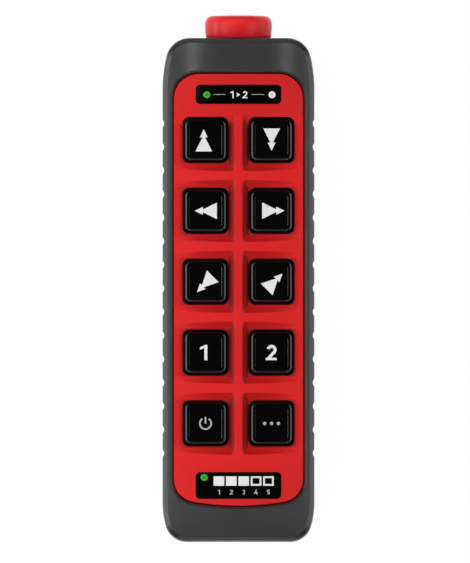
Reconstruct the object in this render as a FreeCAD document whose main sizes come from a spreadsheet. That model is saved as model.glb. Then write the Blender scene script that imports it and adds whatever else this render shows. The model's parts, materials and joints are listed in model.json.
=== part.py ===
import FreeCAD, Part
import math
import os

import Sketcher
from FreeCAD import Vector

# A hand-held radio remote control for a crane, lying on its back.
# X points right, Y towards the stop button, Z out of the key face.
# The origin is the middle of the back face. Units are millimetres.

DIMENSIONS = {
    # case outline, seen from the front
    "case_half": 32.25,
    "case_end": 107.0,
    "nose_radius": 10.0,
    "nose_blend": 58.0,
    "nose_run": 21.6,
    "chin_radius": 9.0,
    "chin_blend": 34.0,
    "chin_run": 16.5,
    # case heights and walls
    "split_height": 30.0,
    "case_wall": 2.8,
    "floor_thick": 3.0,
    "back_round": 5.0,
    "cavity_top": 94.5,
    "cavity_bottom": 95.5,
    "loft_height": 42.5,
    "front_half": 31.45,
    "front_top": 106.4,
    "front_bottom": 106.0,
    "frame_crown": 41.6,
    "crown_radius": 111.0,
    "front_bevel": 1.6,
    "front_crease": 0.4,
    "front_ceiling": 34.4,
    # grip notches on the two sides
    "notch_count": 15.0,
    "notch_pitch": 10.0,
    "notch_first": 70.7,
    "notch_half": 1.7,
    "notch_depth": 0.7,
    # red fascia
    "panel_half": 27.5,
    "panel_top": 91.7,
    "panel_bottom": 91.5,
    "panel_top_round": 10.6,
    "panel_low_round": 9.8,
    "panel_bow": 117.0,
    "panel_gap": 0.6,
    "rim_bevel": 0.9,
    "fascia_under": 33.0,
    "fascia_crown": 41.0,
    "flange_reach": 1.5,
    "flange_thick": 1.4,
    "fascia_round": 0.5,
    # key grid, wells and keys
    "column_x": 14.0,
    "row_first": 63.6,
    "row_pitch": 30.05,
    "row_count": 5.0,
    "well_floor": 37.9,
    "well_inner": 10.1,
    "well_out": 31.0,
    "well_tall": 21.2,
    "well_round": 1.2,
    "well_slope": 38.0,
    "hole_size": 19.6,
    "hole_round": 2.9,
    "collar_outer": 19.4,
    "collar_inner": 17.9,
    "collar_round": 2.8,
    "collar_top": 37.7,
    "key_size": 17.4,
    "key_round": 2.5,
    "key_top": 39.6,
    "key_under": 35.2,
    "key_bevel": 0.9,
    "key_dish": 13.9,
    "key_dish_depth": 0.4,
    "key_hollow": 14.2,
    "key_hollow_depth": 2.6,
    "stem_radius": 3.0,
    "stem_foot": 4.0,
    "stem_tip": 2.4,
    "stem_end": 30.4,
    "stem_foot_low": 31.0,
    "stem_foot_thick": 0.6,
    "mat_under": 31.8,
    "mat_half": 25.0,
    "mat_top": 76.0,
    "mat_bottom": 69.0,
    "mat_stem_hole": 3.3,
    "key_travel": 1.5,
    # switches and circuit board
    "board_under": 24.8,
    "board_thick": 1.6,
    "board_half": 22.5,
    "board_top": 86.6,
    "board_bottom": 88.0,
    "switch_size": 12.0,
    "switch_tall": 2.8,
    "plunger_radius": 2.6,
    "plunger_rest": 0.2,
    "fit_gap": 0.05,
    "post_radius": 3.0,
    "post_first": 48.6,
    "post_count": 4.0,
    "board_screw_radius": 1.0,
    "board_screw_head": 2.3,
    # windows and lamps
    "window_half": 18.2,
    "window_centre": 82.8,
    "window_tall": 8.0,
    "window_round": 1.9,
    "window_floor": 38.0,
    "window_sink": 0.15,
    "plate_centre": 83.05,
    "plate_tall": 10.8,
    "lamp_left": 13.4,
    "lamp_right": 14.2,
    "lamp_low_x": 14.5,
    "lamp_low_y": 79.5,
    "lamp_radius": 1.5,
    "lamp_flange": 2.4,
    "lamp_foot": 27.4,
    "lamp_proud": 0.25,
    # stop button
    "stop_height": 18.9,
    "cup_radius": 14.7,
    "cup_floor": 100.5,
    "bush_radius": 8.0,
    "bush_end": 88.0,
    "bush_flange": 11.0,
    "bush_flange_thick": 1.5,
    "stop_gasket_thick": 0.6,
    "sleeve_radius": 4.0,
    "sleeve_flange": 4.7,
    "sleeve_end": 85.6,
    "sleeve_top": 106.6,
    "shaft_radius": 2.5,
    "shaft_end": 80.5,
    "shaft_top": 112.0,
    "head_radius": 14.25,
    "head_under": 107.0,
    "head_top": 116.8,
    "head_round": 3.4,
    "head_dome": 0.6,
    "head_hollow": 11.4,
    "head_hollow_top": 111.0,
    "head_hub": 5.0,
    "nut_across": 20.0,
    "nut_thick": 3.6,
    "block_half": 10.0,
    "block_low": 11.0,
    "block_high": 24.5,
    "block_end": 73.0,
    "block_bore": 5.0,
    "block_seat": 79.0,
    "stop_spring_radius": 4.1,
    "stop_spring_wire": 0.7,
    # battery bay and door
    "bay_half": 22.3,
    "bay_top": 23.0,
    "bay_bottom": 81.0,
    "bay_ceiling": 18.6,
    "bay_wall": 1.6,
    "cell_radius": 7.1,
    "cell_long": 50.2,
    "cell_pitch": 14.6,
    "cell_height": 11.0,
    "door_half": 25.3,
    "door_top": 14.2,
    "door_bottom": 89.8,
    "door_round": 4.0,
    "door_gap": 0.3,
    "door_pan_height": 5.4,
    "door_sink": 0.4,
    "door_thick": 2.0,
    "door_seal_thick": 0.8,
    "door_seal_wide": 1.4,
    "door_screw_top": 18.2,
    "door_screw_low": 85.8,
    "door_screw_radius": 1.5,
    "door_screw_head": 2.9,
    "door_screw_end": 11.0,
    # case screws, seal and belt-clip inserts
    "screw_x": 20.0,
    "screw_y": 100.5,
    "screw_radius": 1.4,
    "screw_head": 2.75,
    "screw_head_low": 5.6,
    "screw_head_high": 8.0,
    "screw_end": 37.0,
    "screw_sink_radius": 3.1,
    "seal_out": 1.1,
    "seal_wide": 1.0,
    "seal_deep": 1.2,
    "seal_end_gap": 0.8,
    "insert_first": 62.0,
    "insert_second": 38.0,
    "insert_radius": 2.6,
    "insert_bore": 1.65,
    "insert_long": 6.0,
    "insert_boss": 5.0,
}

doc = FreeCAD.newDocument("CraneRemote")
sheet = doc.addObject("Spreadsheet::Sheet", "Dims")
for row, (alias, number) in enumerate(DIMENSIONS.items(), start=1):
    sheet.set("A%d" % row, alias)
    sheet.set("B%d" % row, str(number))
    sheet.setAlias("B%d" % row, alias)
doc.recompute()

nodes = []


def bound(text):
    """Puts the sheet's name before each of its aliases in an expression."""
    words = []
    word = ""
    for letter in str(text) + " ":
        if letter.isalnum() or letter == "_":
            word += letter
            continue
        if word in DIMENSIONS:
            word = "Dims." + word
        words.append(word + letter)
        word = ""
    return "".join(words).strip()


def number_of(text):
    """The value of an expression in millimetres."""
    return float(sheet.evalExpression(bound(text)))


def new_body(label):
    """A named body, noted as one node of the assembly."""
    body = doc.addObject("PartDesign::Body", label)
    body.Label = label
    body.AllowCompound = True
    nodes.append(body)
    return body


def origin_item(body, role):
    for item in body.Origin.OriginFeatures:
        if item.Role == role:
            return item


def new_sketch(body, height="0", plane="XY_Plane"):
    """A sketch on one of the body's own planes, moved along its normal."""
    sketch = body.newObject("Sketcher::SketchObject", body.Name + "_sketch")
    sketch.AttachmentSupport = [(origin_item(body, plane), "")]
    sketch.MapMode = "FlatFace"
    sketch.setExpression("AttachmentOffset.Base.z", bound(height))
    return sketch


def hold(sketch, kind, texts, geometry, point):
    """Fixes one coordinate of a point to an expression."""
    value = number_of(texts)
    if abs(value) < 1e-9:
        axis = -2 if kind == "DistanceX" else -1
        sketch.addConstraint(Sketcher.Constraint("PointOnObject", geometry, point, axis))
        return
    constraint = Sketcher.Constraint(kind, -1, 1, geometry, point, value)
    index = sketch.addConstraint(constraint)
    sketch.setExpression("Constraints[%d]" % index, bound(texts))


def add_circle(sketch, x, y, radius):
    centre = Vector(number_of(x), number_of(y), 0)
    circle = Part.Circle(centre, Vector(0, 0, 1), number_of(radius))
    geometry = sketch.addGeometry(circle)
    hold(sketch, "DistanceX", x, geometry, 3)
    hold(sketch, "DistanceY", y, geometry, 3)
    index = sketch.addConstraint(Sketcher.Constraint("Radius", geometry, number_of(radius)))
    sketch.setExpression("Constraints[%d]" % index, bound(radius))


def arc_between(start, end, radius, turn):
    """An arc shorter than half a circle; turn is 1 for left-hand, -1 for right-hand."""
    chord = end - start
    middle = (start + end) * 0.5
    rise = math.sqrt(max(radius**2 - chord.Length**2 / 4, 0))
    left = Vector(-chord.y, chord.x, 0).normalize()
    centre = middle + left * (rise * turn)
    circle = Part.Circle(centre, Vector(0, 0, 1), radius)
    first, last = (start, end) if turn > 0 else (end, start)
    first_angle = math.atan2(first.y - centre.y, first.x - centre.x)
    last_angle = math.atan2(last.y - centre.y, last.x - centre.x)
    if last_angle < first_angle:
        last_angle += 2 * math.pi
    return Part.ArcOfCircle(circle, first_angle, last_angle)


def add_profile(sketch, corners):
    """A closed loop. Each corner is (x, y), or (x, y, radius, turn) where an arc leaves it."""
    places = [Vector(number_of(c[0]), number_of(c[1]), 0) for c in corners]
    ends = []
    for i, corner in enumerate(corners):
        start = places[i]
        end = places[(i + 1) % len(corners)]
        if len(corner) == 2:
            geometry = sketch.addGeometry(Part.LineSegment(start, end))
            ends.append((geometry, 1, 2))
            continue
        radius, turn = corner[2], corner[3]
        geometry = sketch.addGeometry(arc_between(start, end, number_of(radius), turn))
        ends.append((geometry, 1, 2) if turn > 0 else (geometry, 2, 1))
        index = sketch.addConstraint(Sketcher.Constraint("Radius", geometry, number_of(radius)))
        sketch.setExpression("Constraints[%d]" % index, bound(radius))
    for i, (geometry, start, end) in enumerate(ends):
        following, next_start, _ = ends[(i + 1) % len(ends)]
        sketch.addConstraint(Sketcher.Constraint("Coincident", geometry, end, following, next_start))
    for i, (geometry, start, end) in enumerate(ends):
        hold(sketch, "DistanceX", corners[i][0], geometry, start)
        hold(sketch, "DistanceY", corners[i][1], geometry, start)


def rounded_box(x, y, half_wide, half_tall, radius):
    """The corners of a rounded rectangle."""
    west, east = "%s - (%s)" % (x, half_wide), "%s + (%s)" % (x, half_wide)
    south, north = "%s - (%s)" % (y, half_tall), "%s + (%s)" % (y, half_tall)
    return [
        ("%s + (%s)" % (west, radius), south),
        ("%s - (%s)" % (east, radius), south, radius, 1),
        (east, "%s + (%s)" % (south, radius)),
        (east, "%s - (%s)" % (north, radius), radius, 1),
        ("%s - (%s)" % (east, radius), north),
        ("%s + (%s)" % (west, radius), north, radius, 1),
        (west, "%s - (%s)" % (north, radius)),
        (west, "%s + (%s)" % (south, radius), radius, 1),
    ]


def plain_box(west, south, east, north):
    return [(west, south), (east, south), (east, north), (west, north)]


def case_corners(half, top, bottom, inset="0"):
    """The case outline: straight sides that lean over a long arc into each rounded corner."""
    ends = {}
    for end in ("nose", "chin"):
        run, small, large = end + "_run", end + "_radius", end + "_blend"
        lean = "((%s - %s) / (%s - %s))" % (run, small, large, small)
        fall = "sqrt(1 - %s^2)" % lean
        ends[end] = {
            "joint_x": "(%s) - %s + (%s - (%s)) * %s" % (half, large, large, inset, fall),
            "joint_y": "(%s - (%s)) * %s - %s" % (large, inset, lean, run),
            "flat_x": "(%s) - %s + (%s - %s) * %s" % (half, large, large, small, fall),
            "small": "%s - (%s)" % (small, inset),
            "large": "%s - (%s)" % (large, inset),
        }
    nose, chin = ends["nose"], ends["chin"]
    side = "(%s) - (%s)" % (half, inset)
    high = "(%s) - (%s)" % (top, inset)
    low = "-(%s) + (%s)" % (bottom, inset)
    nose_start = "(%s) - nose_run" % top
    chin_start = "-(%s) + chin_run" % bottom
    nose_joint = "(%s) + %s" % (top, nose["joint_y"])
    chin_joint = "-(%s) - (%s)" % (bottom, chin["joint_y"])
    return [
        ("-(%s)" % chin["flat_x"], low),
        (chin["flat_x"], low, chin["small"], 1),
        (chin["joint_x"], chin_joint, chin["large"], 1),
        (side, chin_start),
        (side, nose_start, nose["large"], 1),
        (nose["joint_x"], nose_joint, nose["small"], 1),
        (nose["flat_x"], high),
        ("-(%s)" % nose["flat_x"], high, nose["small"], 1),
        ("-(%s)" % nose["joint_x"], nose_joint, nose["large"], 1),
        ("-(%s)" % side, nose_start),
        ("-(%s)" % side, chin_start, chin["large"], 1),
        ("-(%s)" % chin["joint_x"], chin_joint, chin["small"], 1),
    ]


def panel_corners(grow="0"):
    """The fascia outline: rounded top corners and a bottom edge with a slight bow."""
    side = "panel_half + (%s)" % grow
    high = "panel_top + (%s)" % grow
    top_round = "panel_top_round + (%s)" % grow
    low_round = "panel_low_round + (%s)" % grow
    bow = "panel_bow + (%s)" % grow
    bow_centre = "(panel_bow - panel_bottom)"
    inner_x = "(panel_half - panel_low_round)"
    reach = "(panel_bow - panel_low_round)"
    drop = "sqrt(%s^2 - %s^2)" % (reach, inner_x)
    foot_x = "%s * (%s) / %s" % (inner_x, bow, reach)
    foot_y = "%s - %s * (%s) / %s" % (bow_centre, drop, bow, reach)
    side_y = "%s - %s" % (bow_centre, drop)
    return [
        ("-(%s)" % foot_x, foot_y, bow, 1),
        (foot_x, foot_y, low_round, 1),
        (side, side_y),
        (side, "panel_top - panel_top_round", top_round, 1),
        ("panel_half - panel_top_round", high),
        ("-(panel_half - panel_top_round)", high, top_round, 1),
        ("-(%s)" % side, "panel_top - panel_top_round"),
        ("-(%s)" % side, side_y, low_round, 1),
    ]


def swept(body, kind, sketch, length, up=True, symmetric=False, taper=None):
    """A pad or pocket from a sketch; up follows the sketch's own normal."""
    feature = body.newObject("PartDesign::" + kind, body.Name + "_" + kind.lower())
    feature.Profile = sketch
    feature.setExpression("Length", bound(length))
    if symmetric:
        feature.SideType = "Symmetric"
    feature.Reversed = up if kind == "Pocket" else not up
    if taper is not None:
        feature.setExpression("TaperAngle", bound(taper))
    body.Tip = feature
    return feature


def pad(body, sketch, length, **options):
    return swept(body, "Pad", sketch, length, **options)


def pocket(body, sketch, length, **options):
    return swept(body, "Pocket", sketch, length, **options)


def pad_profile(body, corners, low, high, **options):
    """Pads a closed loop between two heights."""
    sketch = new_sketch(body, low)
    add_profile(sketch, corners)
    return pad(body, sketch, "%s - (%s)" % (high, low), **options)


def cut_profile(body, corners, low, high, **options):
    sketch = new_sketch(body, low)
    add_profile(sketch, corners)
    return pocket(body, sketch, "%s - (%s)" % (high, low), **options)


def pad_circles(body, circles, low, high):
    sketch = new_sketch(body, low)
    for circle in circles:
        add_circle(sketch, *circle)
    return pad(body, sketch, "%s - (%s)" % (high, low))


def cut_circles(body, circles, low, high):
    sketch = new_sketch(body, low)
    for circle in circles:
        add_circle(sketch, *circle)
    return pocket(body, sketch, "%s - (%s)" % (high, low))


def repeat(body, features, axis, length, count, reverse=False):
    """A row of copies of some features along one axis of the body."""
    doc.recompute()
    pattern = body.newObject("PartDesign::LinearPattern", body.Name + "_pattern")
    pattern.Originals = features
    pattern.Direction = (origin_item(body, axis), [""])
    pattern.Reversed = reverse
    pattern.setExpression("Length", bound(length))
    pattern.setExpression("Occurrences", bound(count))
    body.Tip = pattern
    doc.recompute()
    return pattern


def revolve(body, corners, height):
    """Turns a profile about a line along Y at the given height."""
    sketch = new_sketch(body, height)
    add_profile(sketch, corners)
    feature = body.newObject("PartDesign::Revolution", body.Name + "_revolution")
    feature.Profile = sketch
    feature.ReferenceAxis = (sketch, ["V_Axis"])
    feature.Angle = 360
    body.Tip = feature
    return feature


def edge_names(feature, edges):
    """The names of some edges of a feature's shape."""
    names = []
    for number, edge in enumerate(feature.Shape.Edges, start=1):
        if any(edge.isSame(other) for other in edges):
            names.append("Edge%d" % number)
    return names


def dress(body, kind, base, edges, size):
    """Rounds or bevels some edges of the body's last feature."""
    feature = body.newObject("PartDesign::" + kind, body.Name + "_" + kind.lower())
    feature.Base = (base, edge_names(base, edges))
    feature.setExpression("Radius" if kind == "Fillet" else "Size", bound(size))
    body.Tip = feature
    doc.recompute()
    return feature


def crown_face(feature):
    """The largest face that follows the crown across the case."""
    radius = number_of("crown_radius")
    found = []
    for face in feature.Shape.Faces:
        surface = face.Surface
        if isinstance(surface, Part.Cylinder) and abs(surface.Radius - radius) < 0.01:
            found.append(face)
    return max(found, key=lambda face: face.Area)


def crown_cut(body, top):
    """Cuts a body down to a surface that is highest along its middle."""
    reach = "(case_half + 8)"
    low = "%s - crown_radius + sqrt(crown_radius^2 - %s^2)" % (top, reach)
    sketch = new_sketch(body, "0", "XZ_Plane")
    add_profile(sketch, [
        ("-" + reach, low, "crown_radius", -1),
        (reach, low),
        (reach, "loft_height + 20"),
        ("-" + reach, "loft_height + 20"),
    ])
    feature = pocket(body, sketch, "4 * case_end", symmetric=True)
    doc.recompute()
    return feature


def key_places():
    """Name, x and y of every key, from the top row down."""
    for row in range(int(number_of("row_count"))):
        for side, sign in (("left", "-"), ("right", "")):
            name = "row%d_%s" % (row + 1, side)
            yield name, sign + "column_x", "row_first - %d * row_pitch" % row


def in_columns(make):
    """The loops that one row of the key grid needs."""
    return [make(sign + "column_x", "row_first") for sign in ("-", "")]


def rows_of(body, features):
    return repeat(body, features, "Y_Axis", "row_pitch * (row_count - 1)", "row_count", reverse=True)


def cut_columns(body, half_wide, half_tall, radius, low, high):
    """One row of rounded square pockets, ready to repeat down the rows."""
    sketch = new_sketch(body, low)
    for loop in in_columns(lambda x, y: rounded_box(x, y, half_wide, half_tall, radius)):
        add_profile(sketch, loop)
    return pocket(body, sketch, "%s - (%s)" % (high, low))


def cut_wells(body):
    """One row of sloped wells that run out at the panel's sides, ready to repeat down the rows."""
    inner = "(column_x - well_inner)"
    middle = "(well_out + %s) / 2" % inner
    half_wide = "(well_out - %s) / 2" % inner
    sketch = new_sketch(body, "well_floor")
    for sign in ("-", ""):
        add_profile(sketch, rounded_box(sign + middle, "row_first", half_wide, "well_tall / 2", "well_round"))
    return pocket(body, sketch, "loft_height - well_floor", taper="well_slope")


def case_screw_places():
    return [(sx + "screw_x", sy + "screw_y") for sx in ("-", "") for sy in ("-", "")]


def cut_notches(body, low, high):
    """The row of shallow grip notches on both sides."""
    sketch = new_sketch(body, low)
    outer = "case_half + 1"
    radius = "(notch_half^2 + notch_depth^2) / (2 * notch_depth)"
    for sign, turn in (("", -1), ("-", 1)):
        edge = "%s(case_half)" % sign
        add_profile(sketch, [
            (edge, "notch_first - notch_half"),
            ("%s(%s)" % (sign, outer), "notch_first - notch_half"),
            ("%s(%s)" % (sign, outer), "notch_first + notch_half"),
            (edge, "notch_first + notch_half", radius, -turn),
        ])
    notch = pocket(body, sketch, "%s - (%s)" % (high, low))
    return repeat(body, [notch], "Y_Axis", "notch_pitch * (notch_count - 1)", "notch_count", reverse=True)


def cut_stop_cup(body):
    """The round recess in the nose that the stop head dips into."""
    sketch = new_sketch(body, "-(cup_floor)", "XZ_Plane")
    add_circle(sketch, "0", "stop_height", "cup_radius")
    return pocket(body, sketch, "20", up=False)


def make_rear_shell():
    body = new_body("rear_shell")
    outside = pad_profile(body, case_corners("case_half", "case_end", "case_end"), "0", "split_height")
    doc.recompute()
    back = [e for e in outside.Shape.Edges if e.BoundBox.ZMax < 0.01]
    dress(body, "Fillet", outside, back, "back_round")
    cavity_half = "case_half - case_wall"
    middle = "(cavity_top - cavity_bottom) / 2"
    half_long = "(cavity_top + cavity_bottom) / 2"
    cut_profile(body, rounded_box("0", middle, cavity_half, half_long, "6"), "floor_thick", "split_height")
    bay_middle = "-(bay_top + bay_bottom) / 2"
    bay_long = "(bay_bottom - bay_top) / 2"
    pad_profile(body, rounded_box("0", bay_middle, "bay_half + bay_wall", bay_long + " + bay_wall", "2.2"),
                "0", "bay_ceiling + bay_wall")
    door_middle = "-(door_top + door_bottom) / 2"
    door_long = "(door_bottom - door_top) / 2"
    pad_profile(body, rounded_box("0", door_middle, "door_half + bay_wall", door_long + " + bay_wall",
                                  "door_round + bay_wall"), "0", "door_pan_height")
    screws = [("0", "-door_screw_top"), ("0", "-door_screw_low")]
    pad_circles(body, [(x, y, "door_screw_radius + 2.2") for x, y in screws], "0", "door_screw_end + 2")
    inserts = [("0", "insert_first"), ("0", "insert_second")]
    pad_circles(body, [(x, y, "insert_boss") for x, y in inserts], "0", "insert_long + 2")
    cut_profile(body, rounded_box("0", door_middle, "door_half", door_long, "door_round"),
                "0", "door_sink + door_thick + door_seal_thick")
    cut_profile(body, rounded_box("0", bay_middle, "bay_half", bay_long, "1.2"), "0", "bay_ceiling")
    cut_circles(body, [(x, y, "door_screw_radius + fit_gap") for x, y in screws], "0", "door_screw_end + 0.8")
    cut_circles(body, [(x, y, "insert_radius") for x, y in inserts], "0", "insert_long + 0.6")
    places = case_screw_places()
    cut_circles(body, [(x, y, "screw_radius + 0.2") for x, y in places], "0", "split_height")
    cut_circles(body, [(x, y, "screw_sink_radius") for x, y in places], "0", "screw_head_high")
    tails = new_sketch(body, "bay_ceiling - 1")
    for x, y in contact_tails():
        add_profile(tails, plain_box("%s - 1.8" % x, "%s - 0.5" % y, "%s + 1.8" % x, "%s + 0.5" % y))
    pocket(body, tails, "bay_wall + 2")
    seal = new_sketch(body, "split_height - seal_deep")
    for inset in ("seal_out", "seal_out + seal_wide"):
        add_profile(seal, seal_corners(inset))
    pocket(body, seal, "seal_deep")
    cut_stop_cup(body)
    through = new_sketch(body, "-(cavity_top - 2)", "XZ_Plane")
    add_circle(through, "0", "stop_height", "bush_radius + 0.1")
    pocket(body, through, "20", up=False)
    cut_notches(body, "0", "split_height")


def seal_corners(inset):
    """A loop in the case wall that passes inside the corner screws."""
    half = "case_half - (%s)" % inset
    low = "cavity_bottom + seal_end_gap + seal_wide + seal_out - (%s)" % inset
    high = "cavity_top + seal_end_gap + seal_wide + seal_out - (%s)" % inset
    middle = "((%s) - (%s)) / 2" % (high, low)
    return rounded_box("0", middle, half, "((%s) + (%s)) / 2" % (high, low), "8.8 - (%s)" % inset)


def make_case_seal():
    body = new_body("case_seal")
    sketch = new_sketch(body, "split_height - seal_deep")
    add_profile(sketch, seal_corners("seal_out + fit_gap"))
    add_profile(sketch, seal_corners("seal_out + seal_wide - fit_gap"))
    pad(body, sketch, "seal_deep")


def make_front_shell():
    body = new_body("front_shell")
    low = new_sketch(body, "split_height")
    add_profile(low, case_corners("case_half", "case_end", "case_end"))
    high = new_sketch(body, "loft_height")
    add_profile(high, case_corners("front_half", "front_top", "front_bottom"))
    loft = body.newObject("PartDesign::AdditiveLoft", "front_shell_loft")
    loft.Profile = low
    loft.Sections = [high]
    loft.Ruled = True
    body.Tip = loft
    crowned = crown_cut(body, "frame_crown")
    bevelled = dress(body, "Chamfer", crowned, crown_face(crowned).OuterWire.Edges, "front_bevel")
    dress(body, "Fillet", bevelled, crown_face(bevelled).OuterWire.Edges, "front_crease")
    opened = cut_profile(body, panel_corners("panel_gap"), "split_height", "loft_height + 2")
    doc.recompute()
    face = crown_face(opened)
    rim = [e for w in face.Wires if not w.isSame(face.OuterWire) for e in w.Edges]
    dress(body, "Chamfer", opened, rim, "rim_bevel")
    cavity_half = "case_half - case_wall"
    middle = "(cavity_top - cavity_bottom) / 2"
    half_long = "(cavity_top + cavity_bottom) / 2"
    cut_profile(body, rounded_box("0", middle, cavity_half, half_long, "6"), "split_height", "front_ceiling")
    cut_circles(body, [(x, y, "screw_radius + 0.1") for x, y in case_screw_places()],
                "split_height", "screw_end + 0.4")
    cut_stop_cup(body)
    cut_notches(body, "split_height", "loft_height")


def make_fascia():
    body = new_body("fascia")
    pad_profile(body, panel_corners(), "fascia_under", "loft_height + 2")
    crowned = crown_cut(body, "fascia_crown")
    dress(body, "Fillet", crowned, crown_face(crowned).OuterWire.Edges, "fascia_round")
    pad_profile(body, panel_corners("flange_reach"), "fascia_under", "fascia_under + flange_thick")
    rows_of(body, [cut_wells(body)])
    hole = cut_columns(body, "hole_size / 2", "hole_size / 2", "hole_round", "fascia_under", "loft_height")
    rows_of(body, [hole])
    recess = new_sketch(body, "window_floor")
    for loop in window_loops("0"):
        add_profile(recess, loop)
    pocket(body, recess, "10")
    cut_circles(body, [(x, y, "lamp_radius + 0.1") for x, y in lamp_places()], "fascia_under", "loft_height")
    pad_circles(body, [(x, y, "post_radius") for x, y in post_places()],
                "board_under + board_thick", "fascia_under")
    cut_circles(body, [(x, y, "board_screw_radius + 0.1") for x, y in post_places()],
                "board_under + board_thick", "fascia_under + 2")


def window_loops(inset):
    status = rounded_box("0", "window_centre", "window_half - %s" % inset,
                         "window_tall / 2 - %s" % inset, "window_round")
    plate = rounded_box("0", "-plate_centre", "window_half - %s" % inset,
                        "plate_tall / 2 - %s" % inset, "window_round")
    return [status, plate]


def lamp_places():
    return [("-lamp_left", "window_centre"), ("lamp_right", "window_centre"), ("-lamp_low_x", "-lamp_low_y")]


def post_places():
    count = int(number_of("post_count"))
    return [("0", "post_first - %d * row_pitch" % i) for i in range(count)]


def make_windows():
    """Two dark windows that follow the crown, pierced for the lamps."""
    lamps = lamp_places()
    for label, loop, holes in (
        ("status_window", window_loops("0.1")[0], lamps[:2]),
        ("lower_window", window_loops("0.1")[1], lamps[2:]),
    ):
        body = new_body(label)
        pad_profile(body, loop, "window_floor", "loft_height + 2")
        crown_cut(body, "fascia_crown - window_sink")
        cut_circles(body, [(x, y, "lamp_radius + 0.05") for x, y in holes], "window_floor", "loft_height + 2")


def make_light_pipes():
    labels = ("status_pipe_left", "status_pipe_right", "lower_pipe")
    for label, (x, y) in zip(labels, lamp_places()):
        body = new_body(label)
        pad_circles(body, [(x, y, "lamp_radius")], "lamp_foot", "loft_height + 2")
        crown_cut(body, "fascia_crown - window_sink + lamp_proud")
        pad_circles(body, [(x, y, "lamp_flange")], "fascia_under - 1", "fascia_under")


def make_key_mat():
    body = new_body("key_mat")
    middle = "(mat_top - mat_bottom) / 2"
    half_long = "(mat_top + mat_bottom) / 2"
    pad_profile(body, rounded_box("0", middle, "mat_half", half_long, "4"), "mat_under", "fascia_under")
    sketch = new_sketch(body, "fascia_under")
    for size in ("collar_outer", "collar_inner"):
        shrink = "(collar_outer - %s) / 2" % size
        for loop in in_columns(lambda x, y: rounded_box(x, y, size + " / 2", size + " / 2",
                                                        "collar_round - " + shrink)):
            add_profile(sketch, loop)
    collar = pad(body, sketch, "collar_top - fascia_under")
    rows_of(body, [collar])
    stems = new_sketch(body, "mat_under")
    for sign in ("-", ""):
        add_circle(stems, sign + "column_x", "row_first", "mat_stem_hole")
    hole = pocket(body, stems, "fascia_under - mat_under")
    rows_of(body, [hole])
    cut_circles(body, [(x, y, "post_radius + 0.3") for x, y in post_places()], "mat_under", "fascia_under")


def make_key(name, x, y):
    """One key: a bevelled, dished cap on a stem that snaps through the mat."""
    body = new_body("key_" + name)
    half = "key_size / 2"
    cap = pad_profile(body, rounded_box("0", "0", half, half, "key_round"), "key_under", "key_top")
    doc.recompute()
    top = [e for e in cap.Shape.Edges if e.BoundBox.ZMin > number_of("key_top") - 0.01]
    dress(body, "Chamfer", cap, top, "key_bevel")
    dish = new_sketch(body, "key_top - key_dish_depth")
    dish_half = "key_dish / 2 - key_dish_depth"
    add_profile(dish, rounded_box("0", "0", dish_half, dish_half, "1.6"))
    pocket(body, dish, "key_dish_depth", taper="45")
    cut_profile(body, rounded_box("0", "0", "key_hollow / 2", "key_hollow / 2", "1.8"),
                "key_under", "key_under + key_hollow_depth")
    pad_circles(body, [("0", "0", "stem_radius")], "stem_foot_low", "key_under + key_hollow_depth")
    pad_circles(body, [("0", "0", "stem_foot")], "stem_foot_low", "stem_foot_low + stem_foot_thick")
    pad_circles(body, [("0", "0", "stem_tip")], "stem_end", "stem_foot_low")
    body.setExpression("Placement.Base.x", bound(x))
    body.setExpression("Placement.Base.y", bound(y))


def make_plunger(name, x, y):
    """The small round plunger of one switch, under the key's stem."""
    body = new_body("plunger_" + name)
    foot = "board_under + board_thick + plunger_rest + key_travel"
    pad_circles(body, [("0", "0", "plunger_radius")], foot, "stem_end")
    body.setExpression("Placement.Base.x", bound(x))
    body.setExpression("Placement.Base.y", bound(y))


def make_switch_bodies():
    body = new_body("switch_bodies")
    board_top = "board_under + board_thick"
    sketch = new_sketch(body, board_top)
    half = "switch_size / 2"
    for loop in in_columns(lambda x, y: rounded_box(x, y, half, half, "1")):
        add_profile(sketch, loop)
    case = pad(body, sketch, "switch_tall")
    wells = new_sketch(body, board_top + " + 0.1")
    for sign in ("-", ""):
        add_circle(wells, sign + "column_x", "row_first", "plunger_radius + fit_gap")
    well = pocket(body, wells, "switch_tall")
    rows_of(body, [case, well])


def make_circuit_board():
    body = new_body("circuit_board")
    middle = "(board_top - board_bottom) / 2"
    half_long = "(board_top + board_bottom) / 2"
    top = "board_under + board_thick"
    pad_profile(body, rounded_box("0", middle, "board_half", half_long, "2"), "board_under", top)
    cut_circles(body, [(x, y, "board_screw_radius + 0.3") for x, y in post_places()], "board_under", top)


def make_board_screws():
    body = new_body("board_screws")
    pad_circles(body, [(x, y, "board_screw_head") for x, y in post_places()], "board_under - 1.6", "board_under")
    pad_circles(body, [(x, y, "board_screw_radius") for x, y in post_places()], "board_under", "fascia_under + 1")


def make_board_parts():
    """Light-emitting chips on top of the board, and the radio parts below it."""
    board_top = "board_under + board_thick"
    lights = new_body("lamp_chips")
    sketch = new_sketch(lights, board_top)
    for x, y in lamp_places():
        add_profile(sketch, plain_box("%s - 1.6" % x, "%s - 1" % y, "%s + 1.6" % x, "%s + 1" % y))
    pad(lights, sketch, "lamp_foot - (%s) - 0.2" % board_top)
    can = new_body("radio_module")
    pad_profile(can, rounded_box("0", "33.5", "12", "11.5", "0.8"), "board_under - 3.2", "board_under")
    chip = new_body("controller_chip")
    pad_profile(chip, plain_box("-5", "-1.5", "5", "8.5"), "board_under - 1.4", "board_under")
    make_antenna()


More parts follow.
